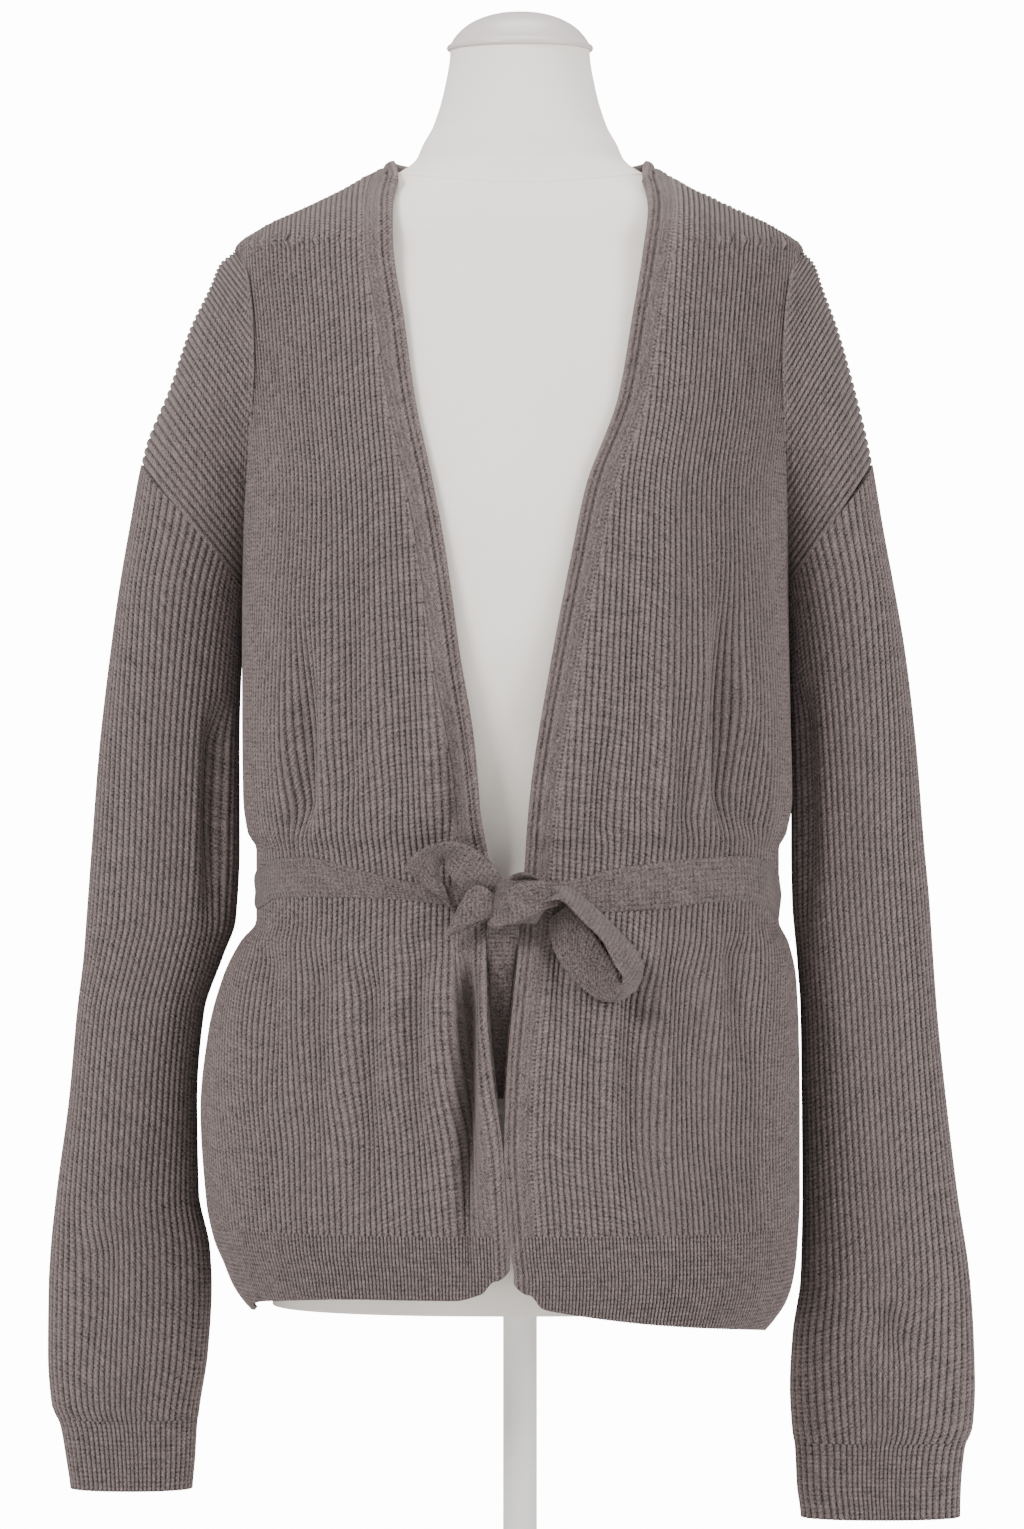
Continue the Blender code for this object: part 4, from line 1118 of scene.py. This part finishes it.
TURNED_LOOP = [
    RibbonRow(-11.9, -107.3, 378.4, 2.5, -3, 5.2),
    RibbonRow(-20, -109, 383.5, 5.2, -3, 8.2),
    RibbonRow(-29, -110.5, 390.5, 5.2, -4.5, 8.4),
    RibbonRow(-36.5, -111.5, 397, 2.4, -6.5, 5.5),
    RibbonRow(-42.5, -110.5, 397, -3, -6.5, 3.6),
    RibbonRow(-48, -109, 390.5, -6.4, -5, 5),
    RibbonRow(-50, -107, 383.5, -9, -3, 4.6),
    RibbonRow(-46, -104.3, 378.5, -8, -1.5, 7.4),
    RibbonRow(-38, -102.5, 376, -3, -0.6, 9),
]


# The ribbon's points across, its half thickness, and how far apart its points lie along it
RIBBON_COLUMNS = 13
RIBBON_HALF = 0.8 * MM
RIBBON_STEP = 0.9 * MM
RIBBON_STITCHES = 4


def ribbon(name, rows, bend=0.6, crease=0.5):
    """A stretch of the belt through a table's rows: hollow across its width, and creased."""
    line = smooth_path(np.array(rows, float) * MM, RIBBON_STEP)
    edge = np.linspace(-1, 1, RIBBON_COLUMNS)
    place = np.linspace(0, 1, len(line))[:, None]
    normal = np.cross(np.gradient(line[:, :3], axis=0), line[:, 3:])
    normal /= np.linalg.norm(normal, axis=1, keepdims=True)
    points = line[:, None, :3] + line[:, None, 3:] * edge[:, None]
    points = points + normal[:, None, :] * ((edge[:, None] ** 2 - 0.4) * bend * MM)
    soft = RIBBON_HALF * np.sqrt(np.clip(1.02 - edge ** 6, 0, 1))
    wave = crease * MM * 0.5 * np.sin(place * 17 + edge * 2.2) * np.sin(edge * 4 + place * 5)
    thick = soft + wave
    front = points + normal[:, None, :] * thick[..., None]
    behind = points - normal[:, None, :] * soft[:, None]
    stitches = np.broadcast_to((edge + 1) * RIBBON_STITCHES, thick.shape)
    places = np.stack([stitches, length_along(points, 0)], -1)
    index = np.arange(thick.size).reshape(thick.shape)
    faces = quads(index).tolist() + quads(index + thick.size)[:, ::-1].tolist()
    loop = list(index[0]) + list(index[1:, -1]) + list(index[-1, -2::-1]) + list(index[-2:0:-1, 0])
    for this, following in zip(loop, loop[1:] + loop[:1]):
        faces.append([this, following, following + thick.size, this + thick.size])
    verts = np.concatenate([front.reshape(-1, 3), behind.reshape(-1, 3)])
    a, b, c, d = verts[np.array(faces)].transpose(1, 0, 2)
    volume = (a * np.cross(b, c)).sum() + (a * np.cross(c, d)).sum()
    if volume < 0:
        faces = [face[::-1] for face in faces]
    made = cloth(name, [(verts, faces, np.concatenate([places.reshape(-1, 2)] * 2))], BELT_KNIT)
    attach(made, "root")
    return made


right_loop = ribbon("belt_right_loop_knit", RIGHT_LOOP, bend=0.3)
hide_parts("belt_right_loop")
left_loop = ribbon("belt_left_loop_knit", LEFT_LOOP)
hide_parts("belt_left_loop")
turned_loop = ribbon("belt_turned_loop_knit", TURNED_LOOP)
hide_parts("belt_turned_loop")

# The belt's hanging end: it falls from under the knot inside the opening, between the two fronts'
# edges, and goes out of sight where they close over it.
TAIL_GAP = 0.9
TailRow = namedtuple("TailRow", "y z")
TAIL = [
    TailRow(-103.6, 361),
    TailRow(-101, 354),
    TailRow(-98.5, 342),
    TailRow(-98, 325),
    TailRow(-98.5, 295),
    TailRow(-99, 270),
]
tail_rows = []
for row in TAIL:
    left_edge = float(edge_curves[LEFT](row.z)) / MM
    right_edge = float(edge_curves[RIGHT](row.z)) / MM
    half = (right_edge - left_edge) / 2 - TAIL_GAP
    tail_rows.append(RibbonRow((left_edge + right_edge) / 2, row.y, row.z, half, 0, 0))
tail = ribbon("belt_tail_knit", tail_rows, bend=0.2)
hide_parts("belt_tail")

# The knot: the belt's own turns, drawn tight into a rounded block. The strand that crosses its
# front and the one that comes over its top are laid on it, and its folds run down slantwise.
KNOT_MIDDLE = np.array((0.5, -108.9, 372)) * MM
KNOT_HALF = np.array((13, 8.6, 12)) * MM
KNOT_PINCH = 0.18
KNOT_FOLD = 0.13
KNOT_EDGE = 0.05
bpy.ops.mesh.primitive_uv_sphere_add(segments=64, ring_count=40, radius=1)
knot = bpy.context.object
knot.name = "belt_knot_knit"
knot.data.name = "belt_knot_knit"
place = np.empty(len(knot.data.vertices) * 3)
knot.data.vertices.foreach_get("co", place)
place = place.reshape(-1, 3)
place /= (np.abs(place) ** 3).sum(1, keepdims=True) ** (1 / 3)
across, deep, up = place.T
pinch = 1 - KNOT_PINCH * across ** 4
slant = 0.75 * across + 0.66 * up + 0.25 * across * up
folds = KNOT_FOLD * (np.abs(np.cos(slant * 2.6 + 0.5)) ** 0.6 - 0.75) * ease((0.3 - deep) * 2)
edges = KNOT_EDGE * np.cos(across * 7 + up * 4)
swell = np.stack([1 + edges, pinch + folds, pinch + edges * 0.7], 1)
knot.data.vertices.foreach_set("co", (KNOT_MIDDLE + place * KNOT_HALF * swell).ravel())
knot.data.update()
knot.data.shade_smooth()
knot.data.materials.append(BELT_KNIT)
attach(knot, "root")
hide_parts("belt_knot")
KNOT_FRONT = [
    RibbonRow(-15, -106.5, 366.5, 1.5, 1.5, 7.5),
    RibbonRow(-10, -113, 368.3, 1.2, -1, 9.6),
    RibbonRow(-3, -117.6, 370.6, 0.8, -1.5, 10.2),
    RibbonRow(5, -119, 373, 0, -1.5, 9.2),
    RibbonRow(11.5, -117.2, 375, -0.8, -2.5, 7.6),
    RibbonRow(18, -114, 375.5, -1.5, -5, 5.6),
]
KNOT_TOP = [
    RibbonRow(-11, -108, 377, 2, -3.5, 4),
    RibbonRow(-5, -112, 382.5, 1.5, -4.5, 3),
    RibbonRow(2, -113.5, 384.3, 0, -5, 2.5),
    RibbonRow(9, -111.5, 382, -1.5, -4.4, 3),
    RibbonRow(14, -107, 378, -2, -3, 4),
]
knot_front = ribbon("belt_knot_front_knit", KNOT_FRONT, bend=0.2, crease=0.9)
knot_top = ribbon("belt_knot_top_knit", KNOT_TOP, bend=0.2, crease=0.9)


# The dress form: a smooth padded torso without limbs, covered in stretched off-white jersey, with painted
# light that makes it a little lighter and warmer low down. A row gives half its width, and its depth
# before and behind.
FormRow = namedtuple("FormRow", "z half_width front back")
FORM = [
    FormRow(157, 131, 91, 90),
    FormRow(175, 134, 93, 94),
    FormRow(225, 135, 94, 97),
    FormRow(290, 129, 91, 90),
    FormRow(345, 118, 86, 78),
    FormRow(385, 112, 82, 71),
    FormRow(450, 119, 92, 74),
    FormRow(520, 127, 110, 80),
    FormRow(570, 131, 116, 84),
    FormRow(630, 135, 107, 86),
    FormRow(672, 139, 96, 83),
    FormRow(695, 138, 86, 77),
    FormRow(710, 133, 79, 71),
    FormRow(721, 126, 75, 69),
    FormRow(733, 110, 68.5, 65),
    FormRow(743, 89.6, 61, 60),
    FormRow(753, 67.6, 51.3, 52.3),
    FormRow(762, 55.2, 46.4, 48.4),
    FormRow(770, 51.5, 46, 48),
    FormRow(780, 46, 43.5, 45),
    FormRow(800, 40, 39.5, 40),
    FormRow(820, 37, 37, 37),
]
form_curves = {name: curve(FORM, name) for name in ("half_width", "front", "back")}
# The section is as squarish as the body's up to the neck's foot, and round above
NECK_FOOT = 735
NECK_HEIGHT = 45
NECK_POWER = 2.0
FORM_TURNS = 128
FORM_STITCHES = 20


def form_points(angle, z, lift=0.0):
    """Points on the form's surface. Lift moves them outwards."""
    level = z / MM
    depth = np.where(np.cos(angle) > 0, form_curves["front"](level), form_curves["back"](level))
    power = OVAL_POWER + (NECK_POWER - OVAL_POWER) * ease((level - NECK_FOOT) / NECK_HEIGHT)
    x, y = oval(angle, form_curves["half_width"](level) + lift, depth + lift, power)
    return np.stack([x, y, np.broadcast_to(z, x.shape)], -1)


def round_piece(name, grid, places, look):
    """A closed round piece from level rings, which run from its foot to its top."""
    index = closed_round(np.arange(grid.shape[0] * grid.shape[1]).reshape(grid.shape[:2]))
    faces = quads(index)[:, [0, 3, 2, 1]].tolist()
    faces += [index[0, :-1][::-1].tolist(), index[-1, :-1].tolist()]
    return cloth(name, [(grid.reshape(-1, 3), faces, places.reshape(-1, 2))], look)


# The jersey's colour high up, and the painted light that makes it lighter and warmer lower down: it
# starts at this height and is whole a third of a metre lower
JERSEY_COLOUR = (0.97, 0.90, 0.835)
JERSEY_LOW_LIGHT = (0.03, 0.03, 0.01)
LOW_LIGHT_BELOW = 0.62
LOW_LIGHT_RATE = 3.0
JERSEY, jersey = start_look("form jersey", {"Roughness": 0.9, "Specular IOR Level": 0.2,
                                            "Sheen Weight": 0.15})
form_place = jersey.add("ShaderNodeTexCoord", "Object")
weave = jersey.add("ShaderNodeTexNoise", "Fac", {"Vector": form_place, "Scale": 1400.0, "Detail": 2.0})
mottle = jersey.add("ShaderNodeTexNoise", "Fac", {"Vector": form_place, "Scale": 35.0, "Detail": 2.0})
height_up = jersey.add("ShaderNodeSeparateXYZ", "Z", {"Vector": form_place})
# Painted light: the jersey is lighter and warmer lower down
painted_low_light = ((LOW_LIGHT_BELOW - height_up) * LOW_LIGHT_RATE).maths("MAXIMUM", 0.0).maths("MINIMUM", 1.0)
tone = 1.0 + (weave - 0.5) * 0.10 + (mottle - 0.5) * 0.05
shades = [tone * (painted_low_light * change + base) for base, change in zip(JERSEY_COLOUR, JERSEY_LOW_LIGHT)]
jersey.surface({
    "Base Color": jersey.add("ShaderNodeCombineColor", "Color", dict(enumerate(shades))),
    "Normal": jersey.add("ShaderNodeBump", "Normal", {"Strength": 0.25, "Distance": 0.4 * MM,
                                                      "Height": weave})})

form_z = np.concatenate([np.linspace(FORM[0].z, 700, 90), np.linspace(704, FORM[-1].z, 60)])
form_z = form_z[:, None] * MM
form_turn = np.arange(FORM_TURNS) / FORM_TURNS * 2 * math.pi
form_grid = form_points(form_turn[None, :], form_z)
form_places = np.stack(np.broadcast_arrays(form_turn * FORM_STITCHES, form_z), -1)
form = round_piece("form_jersey", form_grid, form_places, JERSEY)
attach(form, "root")
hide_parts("form")

# The neck seam: a thin raised line of small stitches round the form's neck, which dips in front
# and rises a little behind.
SEAM_HEIGHT = 755
SEAM_DIP = 9
SEAM_RISE = 3
SEAM_HALF = 0.6 * MM
SEAM_THICK = 0.35 * MM
SEAM_LIFT = 0.1 * MM
SEAM_STITCHES = 120
SEAM_TURNS = 240
SEAM_SIDES = 8
seam_turn = np.arange(SEAM_TURNS) / SEAM_TURNS * 2 * math.pi
forward = np.cos(seam_turn)
dip = SEAM_DIP * np.maximum(forward, 0) ** 1.5
seam_z = (SEAM_HEIGHT - dip + SEAM_RISE * np.maximum(-forward, 0)) * MM
seam_rings = []
for turn in np.linspace(0, 2 * math.pi, SEAM_SIDES, endpoint=False):
    lift = SEAM_THICK * math.cos(turn) * (1 + 0.35 * np.cos(seam_turn * SEAM_STITCHES)) + SEAM_LIFT
    seam_rings.append(form_points(seam_turn, seam_z + SEAM_HALF * math.sin(turn), lift))
seam_grid = np.stack(seam_rings, 1)
index = closed_round(np.arange(SEAM_TURNS * SEAM_SIDES).reshape(SEAM_TURNS, SEAM_SIDES))
index = np.concatenate([index, index[:1]])
seam_places = np.zeros((SEAM_TURNS * SEAM_SIDES, 2))
seam = cloth("form_neck_seam", [(seam_grid.reshape(-1, 3), quads(index).tolist(), seam_places)], JERSEY)
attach(seam, "root")

# The neck cap: a glossy pale plastic dome with a thin rim, pressed on the form's neck. A row
# gives its radius at a height.
CAP_TURNS = 96
CAP_STEP = 0.7 * MM
CapRow = namedtuple("CapRow", "z radius")
CAP = [CapRow(820.1, 34), CapRow(820.1, 38.2), CapRow(820.5, 38.7), CapRow(821.4, 38.8),
       CapRow(822.5, 38.4), CapRow(823.2, 37.2), CapRow(824.2, 36.4), CapRow(827, 34.6),
       CapRow(831, 31), CapRow(834.5, 26.2), CapRow(837.4, 20), CapRow(839.4, 13), CapRow(840.4, 5.5)]
CAP_PLASTIC, _ = start_look("cap plastic", {"Roughness": 0.28, "Base Color": (0.66, 0.60, 0.575, 1)})
cap_line = smooth_path(np.array([(row.radius, row.z) for row in CAP]) * MM, CAP_STEP)
cap_turn = np.arange(CAP_TURNS) / CAP_TURNS * 2 * math.pi
radius, cap_z = cap_line[:, :1], cap_line[:, 1:]
cap_grid = np.stack(np.broadcast_arrays(radius * np.sin(cap_turn), -radius * np.cos(cap_turn), cap_z), -1)
cap = round_piece("neck_cap_plastic", cap_grid, np.zeros(cap_grid.shape[:2] + (2,)), CAP_PLASTIC)
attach(cap, "root")
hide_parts("neck_cap")

# The stand: a steel pole under the form and a round base plate, in white satin paint. Both keep
# the fixed frame's own shapes.
STAND_PAINT, _ = start_look("stand paint", {"Roughness": 0.35, "Base Color": (0.80, 0.79, 0.77, 1)})
for name in ("pole", "base_plate"):
    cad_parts[name].data.materials.clear()
    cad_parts[name].data.materials.append(STAND_PAINT)

# The studio: a white floor and surround, which the camera sees as pure white, with soft light
# from the front and both sides.
CAMERA_WHITE = 14.0
SURROUND = 0.62
WHITE = (1, 1, 1, 1)
FLOOR_SIZE = 14
AIM = Vector((0, 0, 0.45))


def white_to_camera(nodes, lit, glow, end):
    """Ends a tree: the camera sees the glow, and all else gets what is lit."""
    camera_ray = nodes.add("ShaderNodeLightPath", "Is Camera Ray")
    both = nodes.add("ShaderNodeMixShader", "Shader", {"Fac": camera_ray, 1: lit, 2: glow})
    nodes.fill(nodes.tree.nodes[end], {"Surface": both})


FLOOR_WHITE, nodes = start_look("floor", {"Roughness": 1.0, "Base Color": (0.9, 0.9, 0.9, 1),
                                          "Specular IOR Level": 0.0})
glow = nodes.add("ShaderNodeEmission", "Emission", {"Strength": CAMERA_WHITE})
lit = Value(nodes, nodes.tree.nodes["Principled BSDF"].outputs["BSDF"])
white_to_camera(nodes, lit, glow, "Material Output")
bpy.ops.mesh.primitive_plane_add(size=FLOOR_SIZE)
floor = bpy.context.object
floor.name = "floor"
floor.data.materials.append(FLOOR_WHITE)

world = bpy.data.worlds.new("studio")
bpy.context.scene.world = world
world.use_nodes = True
nodes = Nodes(world.node_tree)
lit = nodes.add("ShaderNodeBackground", "Background", {"Color": WHITE, "Strength": SURROUND})
glow = nodes.add("ShaderNodeBackground", "Background", {"Color": WHITE, "Strength": CAMERA_WHITE})
white_to_camera(nodes, lit, glow, "World Output")

# The lamps, in metres and watts
Lamp = namedtuple("Lamp", "name x y z size power")
LAMPS = [
    Lamp("key", -2.0, -2.2, 2.4, 1.1, 115),
    Lamp("fill", 2.6, -1.8, 1.2, 1.6, 70),
    Lamp("top", 0.0, 0.2, 2.6, 1.2, 30),
]
for lamp in LAMPS:
    bpy.ops.object.light_add(type="AREA", location=(lamp.x, lamp.y, lamp.z))
    light = bpy.context.object
    light.name = lamp.name
    light.data.size = lamp.size
    light.data.energy = lamp.power
    light.rotation_euler = (AIM - light.location).to_track_quat("-Z", "Y").to_euler()

# The camera: straight in front, level with the middle of the picture. The form stands a little
# to the right of the picture's middle, given in the picture's pixels.
CAMERA_AWAY = 3.5
CAMERA_HEIGHT = 0.442
PICTURE_HEIGHT = 0.810
PICTURE_PIXELS = 1529
PICTURE_MIDDLE = 512
FORM_MIDDLE = 520
SENSOR = 36
bpy.ops.object.camera_add(location=(0, -CAMERA_AWAY, CAMERA_HEIGHT), rotation=(math.pi / 2, 0, 0))
camera = bpy.context.object
camera.data.sensor_fit = "VERTICAL"
camera.data.sensor_height = SENSOR
camera.data.lens = SENSOR * CAMERA_AWAY / PICTURE_HEIGHT
camera.data.shift_x = (PICTURE_MIDDLE - FORM_MIDDLE) / PICTURE_PIXELS
bpy.context.scene.camera = camera

# The cut of each piece of cloth that shows, all round on the tubes: width and length in metres
Cut = namedtuple("Cut", "piece width length area held rests_on")
CUTS = [
    Cut(left_front, 0.27, 0.56, 0.112, "draped", [form]),
    Cut(right_front, 0.26, 0.56, 0.112, "draped", [form]),
    Cut(back, 0.50, 0.56, 0.24, "draped", [form]),
    Cut(hem_left, 0.20, 0.04, None, "hung", [left_front]),
    Cut(hem_right, 0.20, 0.05, None, "hung", [right_front]),
    Cut(hem_back, 0.42, 0.05, None, "hung", [back]),
    Cut(left_sleeve, 0.20, 0.48, None, "hung", [left_front, back]),
    Cut(right_sleeve, 0.20, 0.49, None, "hung", [right_front, back]),
    Cut(left_cuff, 0.17, 0.04, None, "hung", [left_sleeve]),
    Cut(right_cuff, 0.20, 0.041, None, "hung", [right_sleeve]),
    Cut(band, 0.012, 1.4, None, "draped", [form]),
    Cut(belt_waist, 0.024, 0.75, None, "stretched", [left_front, right_front, back]),
    Cut(right_loop, 0.021, 0.15, None, "folded", [knot]),
    Cut(left_loop, 0.020, 0.05, None, "folded", [knot]),
    Cut(turned_loop, 0.018, 0.09, None, "folded", [knot, belt_waist]),
    Cut(tail, 0.014, 0.092, None, "hung", [knot]),
    Cut(knot_front, 0.018, 0.036, None, "folded", [knot]),
    Cut(knot_top, 0.011, 0.029, None, "folded", [knot]),
]
for cut in CUTS:
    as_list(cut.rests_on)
